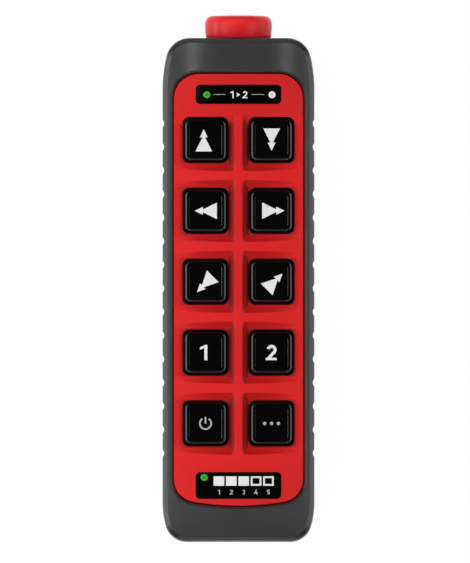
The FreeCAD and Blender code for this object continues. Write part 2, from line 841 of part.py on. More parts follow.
def make_antenna():
    """A wire aerial that drops from the board and runs along the case."""
    body = new_body("antenna")
    spine = new_sketch(body, "18", "YZ_Plane")
    bend = "3"
    low = "board_under - 6"
    route = [("4", "board_under"), ("4", "%s + %s" % (low, bend)), ("4 + %s" % bend, low), ("64", low)]
    places = [Vector(number_of(a), number_of(b), 0) for a, b in route]
    first = spine.addGeometry(Part.LineSegment(places[0], places[1]))
    corner = spine.addGeometry(arc_between(places[1], places[2], number_of(bend), 1))
    last = spine.addGeometry(Part.LineSegment(places[2], places[3]))
    spine.addConstraint(Sketcher.Constraint("Coincident", first, 2, corner, 1))
    spine.addConstraint(Sketcher.Constraint("Coincident", corner, 2, last, 1))
    for geometry, point, (across, up) in ((first, 1, route[0]), (first, 2, route[1]),
                                          (last, 1, route[2]), (last, 2, route[3])):
        hold(spine, "DistanceX", across, geometry, point)
        hold(spine, "DistanceY", up, geometry, point)
    spine.addConstraint(Sketcher.Constraint("Radius", corner, number_of(bend)))
    round_wire = new_sketch(body, "board_under")
    add_circle(round_wire, "18", "4", "0.9")
    pipe = body.newObject("PartDesign::AdditivePipe", "antenna_pipe")
    pipe.Profile = round_wire
    pipe.Spine = (spine, ["Edge1", "Edge2", "Edge3"])
    body.Tip = pipe


def make_stop_bush():
    body = new_body("stop_bush")
    seat = "cup_floor + stop_gasket_thick"
    bore = "sleeve_radius + fit_gap"
    revolve(body, [
        (bore, "bush_end"),
        ("bush_radius", "bush_end"),
        ("bush_radius", seat),
        ("bush_flange", seat),
        ("bush_flange", "%s + bush_flange_thick" % seat),
        (bore, "%s + bush_flange_thick" % seat),
    ], "stop_height")


def make_stop_gasket():
    body = new_body("stop_gasket")
    revolve(body, [
        ("bush_radius + 0.1", "cup_floor"),
        ("bush_flange + 0.4", "cup_floor"),
        ("bush_flange + 0.4", "cup_floor + stop_gasket_thick"),
        ("bush_radius + 0.1", "cup_floor + stop_gasket_thick"),
    ], "stop_height")


def make_stop_nut():
    body = new_body("stop_nut")
    sketch = new_sketch(body, "-(cavity_top)", "XZ_Plane")
    corner = "nut_across / sqrt(3)"
    loop = []
    for x, y in (("1", "0"), ("0.5", "0.8660254"), ("-0.5", "0.8660254"),
                 ("-1", "0"), ("-0.5", "-0.8660254"), ("0.5", "-0.8660254")):
        loop.append(("%s * %s" % (corner, x), "stop_height + %s * %s" % (corner, y)))
    add_profile(sketch, loop)
    add_circle(sketch, "0", "stop_height", "bush_radius + 0.02")
    pad(body, sketch, "nut_thick")


def make_stop_actuator():
    """The sleeve that the head pushes down through the bush."""
    body = new_body("stop_actuator")
    bore = "shaft_radius + fit_gap"
    shoulder = "bush_end - 0.1"
    revolve(body, [
        (bore, "sleeve_end"),
        ("sleeve_flange", "sleeve_end"),
        ("sleeve_flange", shoulder),
        ("sleeve_radius", shoulder),
        ("sleeve_radius", "sleeve_top"),
        (bore, "sleeve_top"),
    ], "stop_height")


def make_stop_shaft():
    body = new_body("stop_shaft")
    revolve(body, [
        ("0", "shaft_end"),
        ("shaft_radius - 0.4", "shaft_end"),
        ("shaft_radius", "shaft_end + 0.4"),
        ("shaft_radius", "shaft_top"),
        ("0", "shaft_top"),
    ], "stop_height")


def make_stop_head():
    """A mushroom cap with a rounded rim, hollow underneath round its hub."""
    body = new_body("stop_head")
    rim = "(head_radius - head_round)"
    dome = "(%s^2 + head_dome^2) / (2 * head_dome)" % rim
    revolve(body, [
        ("shaft_radius", "head_under - 0.2"),
        ("head_hub", "head_under - 0.2"),
        ("head_hub", "head_hollow_top"),
        ("head_hollow", "head_hollow_top"),
        ("head_hollow", "head_under"),
        ("head_radius - 0.9", "head_under", "1.2", 1),
        ("head_radius", "head_under + 1.1"),
        ("head_radius", "head_top - head_round - head_dome", "head_round", 1),
        (rim, "head_top - head_dome", dome, 1),
        ("0", "head_top"),
        ("0", "shaft_top"),
        ("shaft_radius", "shaft_top"),
    ], "stop_height")


def make_stop_spring():
    """A square-wire return spring under the actuator's flange."""
    helix = doc.addObject("Part::Helix", "stop_spring_path")
    helix.setExpression("Radius", bound("stop_spring_radius"))
    helix.setExpression("Height", bound("sleeve_end - block_seat - stop_spring_wire - 0.2"))
    helix.setExpression("Pitch", bound("(sleeve_end - block_seat - stop_spring_wire - 0.2) / 4"))
    wire = doc.addObject("Part::Plane", "stop_spring_wire")
    wire.setExpression("Length", bound("stop_spring_wire"))
    wire.setExpression("Width", bound("stop_spring_wire"))
    turn = FreeCAD.Rotation(Vector(1, 0, 0), 90)
    wire.Placement = FreeCAD.Placement(Vector(0, 0, 0), turn)
    wire.setExpression("Placement.Base.x", bound("stop_spring_radius - stop_spring_wire / 2"))
    wire.setExpression("Placement.Base.z", bound("-stop_spring_wire / 2"))
    spring = doc.addObject("Part::Sweep", "stop_spring")
    spring.Label = "stop_spring"
    spring.Sections = [wire]
    spring.Spine = (helix, ["Edge1"])
    spring.Solid = True
    spring.Frenet = True
    spring.Placement = FreeCAD.Placement(Vector(0, 0, 0), FreeCAD.Rotation(Vector(1, 0, 0), -90))
    spring.setExpression("Placement.Base.y", bound("block_seat + stop_spring_wire / 2 + 0.1"))
    spring.setExpression("Placement.Base.z", bound("stop_height"))
    nodes.append(spring)


def make_stop_block():
    """The contact block, hung on the inner end of the bush."""
    body = new_body("stop_contact_block")
    sketch = new_sketch(body, "-(bush_end)", "XZ_Plane")
    middle = "(block_low + block_high) / 2"
    add_profile(sketch, rounded_box("0", middle, "block_half", "(block_high - block_low) / 2", "1"))
    pad(body, sketch, "bush_end - block_end")
    bore = new_sketch(body, "-(block_seat)", "XZ_Plane")
    add_circle(bore, "0", "stop_height", "block_bore")
    pocket(body, bore, "20", up=False)
    tail = new_sketch(body, "-(block_end + 2)", "XZ_Plane")
    add_circle(tail, "0", "stop_height", "shaft_radius + 0.4")
    pocket(body, tail, "20", up=False)


def cell_columns():
    return ["-cell_pitch", "0", "cell_pitch"]


def cell_middle():
    return "-(bay_top + bay_bottom) / 2"


def make_battery_cells():
    body = new_body("battery_cells")
    parts = (
        ("cell_radius", "-cell_long / 2", "cell_long - 1.2"),
        ("2.6", "cell_long / 2 - 1.2", "1.2"),
    )
    for radius, start, length in parts:
        sketch = new_sketch(body, "-(%s + (%s))" % (cell_middle(), start), "XZ_Plane")
        for x in cell_columns():
            add_circle(sketch, x, "cell_height", radius)
        pad(body, sketch, length, up=False)


def contact_tails():
    """Where the two end contacts pass through the bay's ceiling to the board."""
    return [("-cell_pitch", "-bay_bottom + 0.6"), ("cell_pitch", "-bay_top - 0.6")]


def make_battery_contacts():
    """Leaf springs at one end of the cells and plates at the other."""
    for label, end, way in (("spring_contacts", "-bay_bottom", 1), ("plate_contacts", "-bay_top", -1)):
        body = new_body(label)
        near = "%s + %g" % (end, 0.3 * way)
        far = "%s + %g" % (end, 0.8 * way)
        west, east = (near, far) if way > 0 else (far, near)
        sketch = new_sketch(body, "cell_height - 6")
        for x in cell_columns():
            add_profile(sketch, plain_box("%s - 4.5" % x, west, "%s + 4.5" % x, east))
        pad(body, sketch, "12")
        touch = "%s + %s" % (end, "3.7") if way > 0 else "%s - %s" % (end, "3.7")
        leaf = new_sketch(body, "0", "YZ_Plane")
        tip = "(%s)" % touch
        add_profile(leaf, [
            (far, "cell_height - 5"),
            (tip, "cell_height - 0.3"),
            (tip, "cell_height + 0.3"),
            (far, "cell_height + 5"),
            (far, "cell_height + 4.4"),
            ("%s - %g" % (tip, 0.5 * way), "cell_height"),
            (far, "cell_height - 4.4"),
        ])
        bent = pad(body, leaf, "5", symmetric=True)
        repeat(body, [bent], "X_Axis", "cell_pitch", "2")
        repeat(body, [bent], "X_Axis", "cell_pitch", "2", reverse=True)
        place = contact_tails()[0 if way > 0 else 1][0]
        tail = new_sketch(body, "cell_height + 5")
        add_profile(tail, plain_box("%s - 1.5" % place, west, "%s + 1.5" % place, east))
        pad(body, tail, "board_under - cell_height - 5")


def make_battery_door():
    body = new_body("battery_door")
    middle = "-(door_top + door_bottom) / 2"
    half_long = "(door_bottom - door_top) / 2 - door_gap"
    outer = pad_profile(body, rounded_box("0", middle, "door_half - door_gap", half_long, "door_round - door_gap"),
                        "door_sink", "door_sink + door_thick")
    doc.recompute()
    edges = [e for e in outer.Shape.Edges if e.BoundBox.ZMax < number_of("door_sink") + 0.01]
    dress(body, "Chamfer", outer, edges, "0.4")
    places = [("0", "-door_screw_top"), ("0", "-door_screw_low")]
    cut_circles(body, [(x, y, "door_screw_radius + 0.1") for x, y in places], "0", "4")
    cut_circles(body, [(x, y, "door_screw_head + 0.2") for x, y in places], "0", "door_sink + 1.3")


def make_door_seal():
    body = new_body("door_seal")
    middle = cell_middle()
    half_long = "(bay_bottom - bay_top) / 2"
    low = "door_sink + door_thick"
    sketch = new_sketch(body, low)
    add_profile(sketch, rounded_box("0", middle, "bay_half + 0.2", half_long + " + 0.2", "1.2"))
    add_profile(sketch, rounded_box("0", middle, "bay_half + 0.2 + door_seal_wide",
                                    half_long + " + 0.2 + door_seal_wide", "1.2 + door_seal_wide"))
    pad(body, sketch, "door_seal_thick - 0.05")


def make_door_screws():
    body = new_body("door_screws")
    places = [("0", "-door_screw_top"), ("0", "-door_screw_low")]
    pad_circles(body, [(x, y, "door_screw_head") for x, y in places], "door_sink + 0.1", "door_sink + 1.3")
    pad_circles(body, [(x, y, "door_screw_radius") for x, y in places], "door_sink + 1.3", "door_screw_end")


def make_case_screws():
    body = new_body("case_screws")
    places = case_screw_places()
    pad_circles(body, [(x, y, "screw_head") for x, y in places], "screw_head_low", "screw_head_high")
    pad_circles(body, [(x, y, "screw_radius") for x, y in places], "screw_head_high", "screw_end")


def make_clip_inserts():
    body = new_body("clip_inserts")
    sketch = new_sketch(body, "0")
    for y in ("insert_first", "insert_second"):
        add_circle(sketch, "0", y, "insert_radius")
        add_circle(sketch, "0", y, "insert_bore")
    pad(body, sketch, "insert_long")


make_rear_shell()
make_front_shell()
make_case_seal()
make_case_screws()
make_clip_inserts()
make_fascia()
make_windows()
make_light_pipes()
make_key_mat()
for key_name, key_x, key_y in key_places():
    make_key(key_name, key_x, key_y)
    make_plunger(key_name, key_x, key_y)
make_switch_bodies()
make_circuit_board()
make_board_screws()
make_board_parts()
make_stop_bush()
make_stop_gasket()
make_stop_nut()
make_stop_actuator()
make_stop_shaft()
make_stop_head()
make_stop_spring()
make_stop_block()
make_battery_cells()
make_battery_contacts()
make_battery_door()
make_door_seal()
make_door_screws()
doc.recompute()

for item in doc.Objects:
    if "Invalid" in item.State or "Error" in item.State:
        raise RuntimeError("%s did not build: %s" % (item.Label, item.State))
os.makedirs("parts", exist_ok=True)
for node in nodes:
    if node.Shape.isNull() or not node.Shape.isValid():
        raise RuntimeError("%s has no valid shape" % node.Label)
    node.Shape.exportStep("parts/%s.step" % node.Label)
    print("%-22s %2d solids %10.1f mm3" % (node.Label, len(node.Shape.Solids), node.Shape.Volume))
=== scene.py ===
import json
import math
import bpy
import numpy as np
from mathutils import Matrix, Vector
from mathutils.geometry import delaunay_2d_cdt


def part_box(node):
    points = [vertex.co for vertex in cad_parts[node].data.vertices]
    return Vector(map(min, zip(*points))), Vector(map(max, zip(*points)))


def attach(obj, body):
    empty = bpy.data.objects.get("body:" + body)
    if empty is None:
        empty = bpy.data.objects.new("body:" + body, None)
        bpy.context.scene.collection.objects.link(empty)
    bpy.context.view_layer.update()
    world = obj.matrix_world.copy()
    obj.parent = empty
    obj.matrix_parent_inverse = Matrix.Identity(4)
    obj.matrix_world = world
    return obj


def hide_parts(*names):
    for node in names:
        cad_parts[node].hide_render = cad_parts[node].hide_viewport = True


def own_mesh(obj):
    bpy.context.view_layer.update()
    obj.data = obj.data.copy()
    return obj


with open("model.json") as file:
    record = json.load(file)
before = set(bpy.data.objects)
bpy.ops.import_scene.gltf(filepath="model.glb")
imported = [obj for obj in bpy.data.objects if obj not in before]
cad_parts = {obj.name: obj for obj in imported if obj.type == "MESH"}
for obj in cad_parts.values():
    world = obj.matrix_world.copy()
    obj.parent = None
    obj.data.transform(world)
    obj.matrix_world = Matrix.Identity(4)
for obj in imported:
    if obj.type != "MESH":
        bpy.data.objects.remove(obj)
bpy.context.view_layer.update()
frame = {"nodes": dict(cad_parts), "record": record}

mm = 0.001
nodes = frame["nodes"]


# finishes

def startFinish(name):
    mat = bpy.data.materials.new(name)
    mat.use_nodes = True
    tree = mat.node_tree
    tree.nodes.clear()
    out = tree.nodes.new("ShaderNodeOutputMaterial")
    shader = tree.nodes.new("ShaderNodeBsdfPrincipled")
    tree.links.new(shader.outputs["BSDF"], out.inputs["Surface"])
    coords = tree.nodes.new("ShaderNodeTexCoord")
    return mat, tree, shader, coords.outputs["Object"]


def noiseOn(tree, coords, scale, detail=3.0, rough=0.55):
    noise = tree.nodes.new("ShaderNodeTexNoise")
    noise.inputs["Scale"].default_value = scale
    noise.inputs["Detail"].default_value = detail
    noise.inputs["Roughness"].default_value = rough
    tree.links.new(coords, noise.inputs["Vector"])
    return noise.outputs["Fac"]


def spread(tree, fac, low, high, fromLow=0.3, fromHigh=0.7):
    node = tree.nodes.new("ShaderNodeMapRange")
    node.inputs["From Min"].default_value = fromLow
    node.inputs["From Max"].default_value = fromHigh
    node.inputs["To Min"].default_value = low
    node.inputs["To Max"].default_value = high
    tree.links.new(fac, node.inputs["Value"])
    return node.outputs["Result"]


def tinted(tree, fac, dark, light, low=0.3, high=0.7):
    ramp = tree.nodes.new("ShaderNodeValToRGB")
    ramp.color_ramp.elements[0].position = low
    ramp.color_ramp.elements[1].position = high
    ramp.color_ramp.elements[0].color = (*dark, 1)
    ramp.color_ramp.elements[1].color = (*light, 1)
    tree.links.new(fac, ramp.inputs["Fac"])
    return ramp.outputs["Color"]


def bumped(tree, shader, height, strength, depth):
    node = tree.nodes.new("ShaderNodeBump")
    node.inputs["Strength"].default_value = strength
    node.inputs["Distance"].default_value = depth
    tree.links.new(height, node.inputs["Height"])
    tree.links.new(node.outputs["Normal"], shader.inputs["Normal"])


# one Math node; a value is a number or another node's output
def worked(tree, operation, *values):
    node = tree.nodes.new("ShaderNodeMath")
    node.operation = operation
    for socket, value in zip(node.inputs, values):
        if isinstance(value, float):
            socket.default_value = value
        else:
            tree.links.new(value, socket)
    return node.outputs[0]


def axisOf(tree, vector, axis):
    parts = tree.nodes.new("ShaderNodeSeparateXYZ")
    tree.links.new(vector, parts.inputs["Vector"])
    return parts.outputs[axis]


# how far the surface looks along an axis of the piece's own frame
def facing(tree, axis):
    return axisOf(tree, tree.nodes.new("ShaderNodeTexCoord").outputs["Normal"], axis)


def stepped(tree, fac, stops):
    ramp = tree.nodes.new("ShaderNodeValToRGB")
    while len(ramp.color_ramp.elements) < len(stops):
        ramp.color_ramp.elements.new(0.5)
    for element, (place, value) in zip(ramp.color_ramp.elements, stops):
        element.position = place
        element.color = (value, value, value, 1)
    tree.links.new(fac, ramp.inputs["Fac"])
    return ramp.outputs["Color"]


# a darker and a lighter version of a colour
def drifted(colour, share):
    return [c * (1 - share) for c in colour], [min(1.0, c * (1 + share)) for c in colour]


# grain that fades where the surface looks up
def wallGrain(tree, shader, coords, upward, look):
    grain = noiseOn(tree, coords, look["grain"], 2.0, 0.6)
    left = spread(tree, upward, 1.0, look["grainLeft"], *look["grainFade"])
    bumped(tree, shader, worked(tree, "MULTIPLY", grain, left), look["strength"], look["depth"])


# tone is the drift of the colour, soft the drift of the roughness, grain the moulding texture
def mouldedFinish(name, colour, rough, tone=0.06, soft=0.05, patch=90, grain=2600, depth=0.00002,
                  strength=0.25, specular=0.5, metal=0.0):
    mat, tree, shader, coords = startFinish(name)
    drift = noiseOn(tree, coords, patch, 4.0)
    tree.links.new(tinted(tree, drift, *drifted(colour, tone)), shader.inputs["Base Color"])
    haze = noiseOn(tree, coords, patch * 3.1, 3.0)
    tree.links.new(spread(tree, haze, rough - soft, rough + soft), shader.inputs["Roughness"])
    bumped(tree, shader, noiseOn(tree, coords, grain, 2.0, 0.6), strength, depth)
    shader.inputs["Specular IOR Level"].default_value = specular
    shader.inputs["Metallic"].default_value = metal
    return mat


caseLook = {
    "colour": (0.0395, 0.040, 0.040), "tone": 0.05, "patch": 70, "specular": 0.5,
    # roughness by how far the surface looks up
    "rough": [(0.25, 0.56), (0.62, 0.32), (0.955, 0.32), (0.972, 0.19)], "soft": 0.02, "softPatch": 260,
    "grain": 3000, "grainLeft": 0.12, "grainFade": (0.55, 0.93), "strength": 0.5, "depth": 0.00003,
    # the rim at each end: by its tilt and from how far along, with the share of colour left there as
    # painted shade and the shine left there
    "rimTilt": [(0.12, 0.0), (0.36, 1.0), (0.50, 1.0), (0.68, 0.45)], "rimFrom": (0.080, 0.092),
    "rimPaintedShade": 0.48, "rimSpecular": 0.06,
    # face of the chin: where it ends, how level it is, the share of shine left and the roughness added
    "chinTo": (-0.101, -0.082), "chinLevel": (0.86, 0.95), "chinShine": 0.20, "chinRough": 0.22,
}


# satin where the surface looks up, a coarser grain on the walls and the back, and painted shade on the rim
# at each end
def caseFinish(name):
    s = caseLook
    mat, tree, shader, coords = startFinish(name)
    upward = facing(tree, "Z")
    along = axisOf(tree, coords, "Y")
    # painted shade: the rim and corners at each end get a darker colour, as shade would fall there; they
    # are also more matt
    tilted = stepped(tree, worked(tree, "ABSOLUTE", facing(tree, "Y")), s["rimTilt"])
    farOut = spread(tree, worked(tree, "ABSOLUTE", along), 0.0, 1.0, *s["rimFrom"])
    rimShadeAndDull = worked(tree, "MULTIPLY", tilted, farOut)
    drift = noiseOn(tree, coords, s["patch"], 4.0)
    rimShadeScale = tree.nodes.new("ShaderNodeVectorMath")
    rimShadeScale.operation = "SCALE"
    tree.links.new(tinted(tree, drift, *drifted(s["colour"], s["tone"])), rimShadeScale.inputs["Vector"])
    tree.links.new(spread(tree, rimShadeAndDull, 1.0, s["rimPaintedShade"], 0.0, 1.0), rimShadeScale.inputs["Scale"])
    tree.links.new(rimShadeScale.outputs["Vector"], shader.inputs["Base Color"])
    # the face of the chin is duller
    chin = worked(tree, "MULTIPLY", spread(tree, along, 1.0, 0.0, *s["chinTo"]),
                  spread(tree, upward, 0.0, 1.0, *s["chinLevel"]))
    shine = worked(tree, "MULTIPLY", spread(tree, rimShadeAndDull, s["specular"], s["rimSpecular"], 0.0, 1.0),
                   spread(tree, chin, 1.0, s["chinShine"], 0.0, 1.0))
    tree.links.new(shine, shader.inputs["Specular IOR Level"])
    haze = spread(tree, noiseOn(tree, coords, s["softPatch"], 3.0), -s["soft"], s["soft"])
    rough = worked(tree, "ADD", stepped(tree, upward, s["rough"]), haze)
    rough = worked(tree, "ADD", rough, spread(tree, chin, 0.0, s["chinRough"], 0.0, 1.0))
    tree.links.new(rough, shader.inputs["Roughness"])
    wallGrain(tree, shader, coords, upward, s)
    return mat


fasciaLook = {
    "colour": (0.655, 0.0125, 0.0130), "tone": 0.02, "patch": 90, "specular": 0.15,
    "rough": 0.50, "soft": 0.03, "softPatch": 280,
    # painted shade: share of the colour left by how far the surface looks up, darker on the steep walls
    "walls": [(0.35, 0.62), (0.64, 0.80), (0.78, 0.94), (0.92, 1.0)],
    "grain": 3000, "grainLeft": 0.3, "grainFade": (0.6, 0.93), "strength": 0.3, "depth": 0.00002,
}


# painted shade: the colour is darkened on the steep walls of the wells and by the painted shade stored on
# the points, where shade falls; the walls also get a coarser grain bump
def fasciaFinish(name):
    s = fasciaLook
    mat, tree, shader, coords = startFinish(name)
    upward = facing(tree, "Z")
    paintedWellShade = tree.nodes.new("ShaderNodeAttribute")
    paintedWellShade.attribute_name = "paintedWellShade"
    drift = noiseOn(tree, coords, s["patch"], 4.0)
    base = tinted(tree, drift, *drifted(s["colour"], s["tone"]))
    # both multiply painted shade into the colour
    for wall in (stepped(tree, upward, s["walls"]), paintedWellShade.outputs["Fac"]):
        paintShadeMix = tree.nodes.new("ShaderNodeMix")
        paintShadeMix.data_type = "RGBA"
        paintShadeMix.blend_type = "MULTIPLY"
        paintShadeMix.inputs["Factor"].default_value = 1.0
        tree.links.new(base, paintShadeMix.inputs[6])
        tree.links.new(wall, paintShadeMix.inputs[7])
        base = paintShadeMix.outputs[2]
    tree.links.new(base, shader.inputs["Base Color"])
    haze = noiseOn(tree, coords, s["softPatch"], 3.0)
    rough = spread(tree, haze, s["rough"] - s["soft"], s["rough"] + s["soft"])
    tree.links.new(rough, shader.inputs["Roughness"])
    wallGrain(tree, shader, coords, upward, s)
    shader.inputs["Specular IOR Level"].default_value = s["specular"]
    return mat


def lampFinish(name, colour, glow, specular=0.5):
    mat, tree, shader, coords = startFinish(name)
    drift = noiseOn(tree, coords, 900, 2.0)
    dark = [c * 0.8 for c in colour]
    tree.links.new(tinted(tree, drift, dark, colour), shader.inputs["Base Color"])
    tree.links.new(spread(tree, drift, 0.12, 0.22), shader.inputs["Roughness"])
    shader.inputs["Emission Color"].default_value = (*colour, 1)
    shader.inputs["Emission Strength"].default_value = glow
    shader.inputs["Specular IOR Level"].default_value = specular
    bumped(tree, shader, noiseOn(tree, coords, 1500, 2.0), 0.1, 0.00002)
    return mat


finishes = {
    "case_charcoal": caseFinish("charcoalCase"),
    "fascia_red": fasciaFinish("redFascia"),
    "key_black": mouldedFinish("blackKeys", (0.0012, 0.0012, 0.0015), 0.14, tone=0.2, soft=0.02, grain=1800,
                               strength=0.05, specular=0.45),
    "inlay": mouldedFinish("keyInlay", (0.0012, 0.0012, 0.0012), 0.50, tone=0.2, specular=0.02),
    "silicone_black": mouldedFinish("blackSilicone", (0.0016, 0.0016, 0.0016), 0.7, specular=0.05,
                                    grain=2200),
    "window_black": mouldedFinish("blackWindow", (0.0012, 0.0018, 0.0012), 0.16, tone=0.2, specular=0.06,
                                  grain=900, strength=0.03),
    "lamp_green": lampFinish("greenLamp", (0.03, 0.40, 0.018), 0.12),
    "lamp_white": lampFinish("whiteLamp", (0.85, 0.85, 0.83), 0.12),
    "lamp_green_core": lampFinish("greenLampCore", (0.002, 0.33, 0.003), 0.10, 0.03),
    "lamp_white_core": lampFinish("whiteLampCore", (0.52, 0.52, 0.51), 0.06, 0.2),
    "stop_red": mouldedFinish("redStop", (0.78, 0.016, 0.020), 0.34, tone=0.02, specular=0.22, grain=2400,
                              strength=0.08),
    "nylon_black": mouldedFinish("blackNylon", (0.016, 0.016, 0.017), 0.5),
    "zinc_steel": mouldedFinish("zincSteel", (0.55, 0.55, 0.53), 0.32, metal=1.0, grain=1500, strength=0.1),
    "spring_steel": mouldedFinish("springSteel", (0.50, 0.50, 0.49), 0.30, metal=1.0, grain=900,
                                  strength=0.1),
    "brass": mouldedFinish("brassInsert", (0.70, 0.50, 0.22), 0.30, metal=1.0, grain=1500, strength=0.1),
    "board_green": mouldedFinish("boardMask", (0.015, 0.13, 0.045), 0.35, patch=260, tone=0.2, grain=700),
    "chip_black": mouldedFinish("chipBlack", (0.012, 0.012, 0.012), 0.55),
    "tin_can": mouldedFinish("tinCan", (0.72, 0.72, 0.70), 0.35, metal=1.0, grain=1200, strength=0.1),
    "cell_wrap": mouldedFinish("cellSleeve", (0.06, 0.07, 0.08), 0.30, grain=500, strength=0.15),
    "seal_grey": mouldedFinish("sealGrey", (0.05, 0.05, 0.05), 0.75, specular=0.2, grain=1800,
                               strength=0.5),
    "legend": mouldedFinish("legendInk", (0.74, 0.74, 0.73), 0.55, tone=0.04, grain=4200, depth=0.000008),
    "legendGrey": mouldedFinish("greyInk", (0.40, 0.40, 0.40), 0.55, tone=0.05, grain=4200, depth=0.000008),
}

for part in frame["record"]["subparts"]:
    shown = nodes[part["node"]]
    shown.data.materials.clear()
    shown.data.materials.append(finishes[part["material_slot"]])
print("finishes set on the carried-over nodes")


# mesh helpers, all sizes in millimetres

def addPiece(name, verts, faces, finish, body, replaced=(), crease=32, second=None, secondFaces=()):
    mesh = bpy.data.meshes.new(name)
    mesh.from_pydata([[c * mm for c in v] for v in verts], [], faces)
    mesh.validate()
    mesh.polygons.foreach_set("use_smooth", [True] * len(mesh.polygons))
    mesh.set_sharp_from_angle(angle=math.radians(crease))
    mesh.materials.append(finishes[finish])
    if second:
        mesh.materials.append(finishes[second])
        for i in secondFaces:
            mesh.polygons[i].material_index = 1
    piece = bpy.data.objects.new(name, mesh)
    bpy.context.scene.collection.objects.link(piece)
    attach(piece, body)
    if replaced:
        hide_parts(*replaced)
    return piece


def roundedLoop(half, tall, radius, cx=0.0, cy=0.0, perCorner=8, perSide=6):
    loop = []
    for sx, sy, start in ((1, -1, -90), (1, 1, 0), (-1, 1, 90), (-1, -1, 180)):
        midX, midY = cx + sx * (half - radius), cy + sy * (tall - radius)
        for i in range(perCorner + 1):
            turn = math.radians(start + 90.0 * i / perCorner)
            loop.append((midX + radius * math.cos(turn), midY + radius * math.sin(turn)))
        # points along the side that leaves this corner
        endX, endY = loop[-1]
        along = 2 * ((tall if start in (-90, 90) else half) - radius) / perSide
        heading = math.radians(start + 180)
        for i in range(1, perSide):
            loop.append((endX + along * i * math.cos(heading), endY + along * i * math.sin(heading)))
    return loop


def circle(x, y, radius, z, count):
    turns = [math.tau * i / count for i in range(count)]
    return [(x + radius * math.cos(a), y + radius * math.sin(a), z) for a in turns]


def loft(rings):
    count = len(rings[0])
    verts = [v for ring in rings for v in ring]
    faces = [list(range(count))[::-1]]
    for r in range(len(rings) - 1):
        for i in range(count):
            j = (i + 1) % count
            faces.append([r * count + i, r * count + j, (r + 1) * count + j, (r + 1) * count + i])
    faces.append([(len(rings) - 1) * count + i for i in range(count)])
    return verts, faces


def joined(solids):
    verts, faces = [], []
    for v, f in solids:
        start = len(verts)
        verts += v
        faces += [[i + start for i in face] for face in f]
    return verts, faces


def inside(points, loop):
    loop = np.asarray(loop)
    x, y = points[:, 0][:, None], points[:, 1][:, None]
    ax, ay = loop[:, 0], loop[:, 1]
    bx, by = np.roll(ax, -1), np.roll(ay, -1)
    crossing = (ay > y) != (by > y)
    run = np.where(by == ay, 1e-12, by - ay)
    return (crossing & (x < (bx - ax) * (y - ay) / run + ax)).sum(1) % 2 == 1


def edgeDistance(points, loop):
    a = np.asarray(loop)
    b = np.roll(a, -1, axis=0)
    best = np.full(len(points), 1e9)
    for i in range(len(a)):
        d = b[i] - a[i]
        t = np.clip(((points - a[i]) @ d) / max(d @ d, 1e-12), 0, 1)
        best = np.minimum(best, np.hypot(*(points - a[i] - t[:, None] * d).T))
    return best


def crownHeight(x, top, radius=111.0):
    return top - radius + np.sqrt(radius * radius - np.asarray(x) ** 2)


# triangles between an outer loop and its holes, all facing up
def filled(loops, extra, near):
    points, edges = [], []
    for loop in loops:
        start = len(points)
        points += loop
        edges += [(start + i, start + (i + 1) % len(loop)) for i in range(len(loop))]
    flat = [Vector(p) for p in points + extra]
    made, _, tris, source, _, _ = delaunay_2d_cdt(flat, edges, [], 0, near, True)
    xy = np.array([list(v) for v in made])
    middle = np.array([xy[t].mean(0) for t in tris])
    keep = inside(middle, loops[0])
    for hole in loops[1:]:
        keep &= ~inside(middle, hole)
    faces = []
    for tri, good in zip(tris, keep):
        if good:
            a, b, c = xy[tri[0]], xy[tri[1]], xy[tri[2]]
            up = (b[0] - a[0]) * (c[1] - a[1]) - (b[1] - a[1]) * (c[0] - a[0]) > 0
            faces.append(list(tri) if up else list(tri)[::-1])
    return xy, faces, source


# a solid between a shaped top and a flat underside, with holes; skirt holds extra loops of the outer wall
def shapedSolid(outer, holes, extra, topOf, low, skirt=()):
    loops = [outer] + holes
    xy, faces, source = filled(loops, extra, 1e-3)
    place = {k: i for i, ids in enumerate(source) for k in ids}
    verts = [(x, y, z) for (x, y), z in zip(xy, topOf(xy))]
    lowLoops = []
    start = 0
    for k, loop in enumerate(loops):
        ring = [place[start + i] for i in range(len(loop))]
        start += len(loop)
        walls = [[(x, y, low) for x, y in loop]]
        if k == 0 and skirt:
            walls = [[(x, y, z) for x, y in line] for line, z in skirt]
        for wall in walls:
            below = list(range(len(verts), len(verts) + len(wall)))
            verts += wall
            for i in range(len(ring)):
                j = (i + 1) % len(ring)
                quad = [ring[i], below[i], below[j], ring[j]]
                faces.append(quad if k == 0 else quad[::-1])
            ring = below
        lowLoops.append(ring)
    lowIds = [i for ring in lowLoops for i in ring]
    _, under, source = filled([[verts[i][:2] for i in ring] for ring in lowLoops], [], 1e-5)
    back = {i: lowIds[ids[0]] for i, ids in enumerate(source) if ids}
    faces += [[back[i] for i in face][::-1] for face in under]
    return verts, faces


# where the keys stand
keyGrid = {"columnX": 14.0, "firstRow": 63.6, "pitch": 30.05, "rows": 5}
keyPlaces = []
for row in range(keyGrid["rows"]):
    for side, sign in (("left", -1), ("right", 1)):
        keyPlaces.append((f"row{row + 1}_{side}", sign * keyGrid["columnX"],
                          keyGrid["firstRow"] - row * keyGrid["pitch"]))


# the red fascia with its soft-edged wells

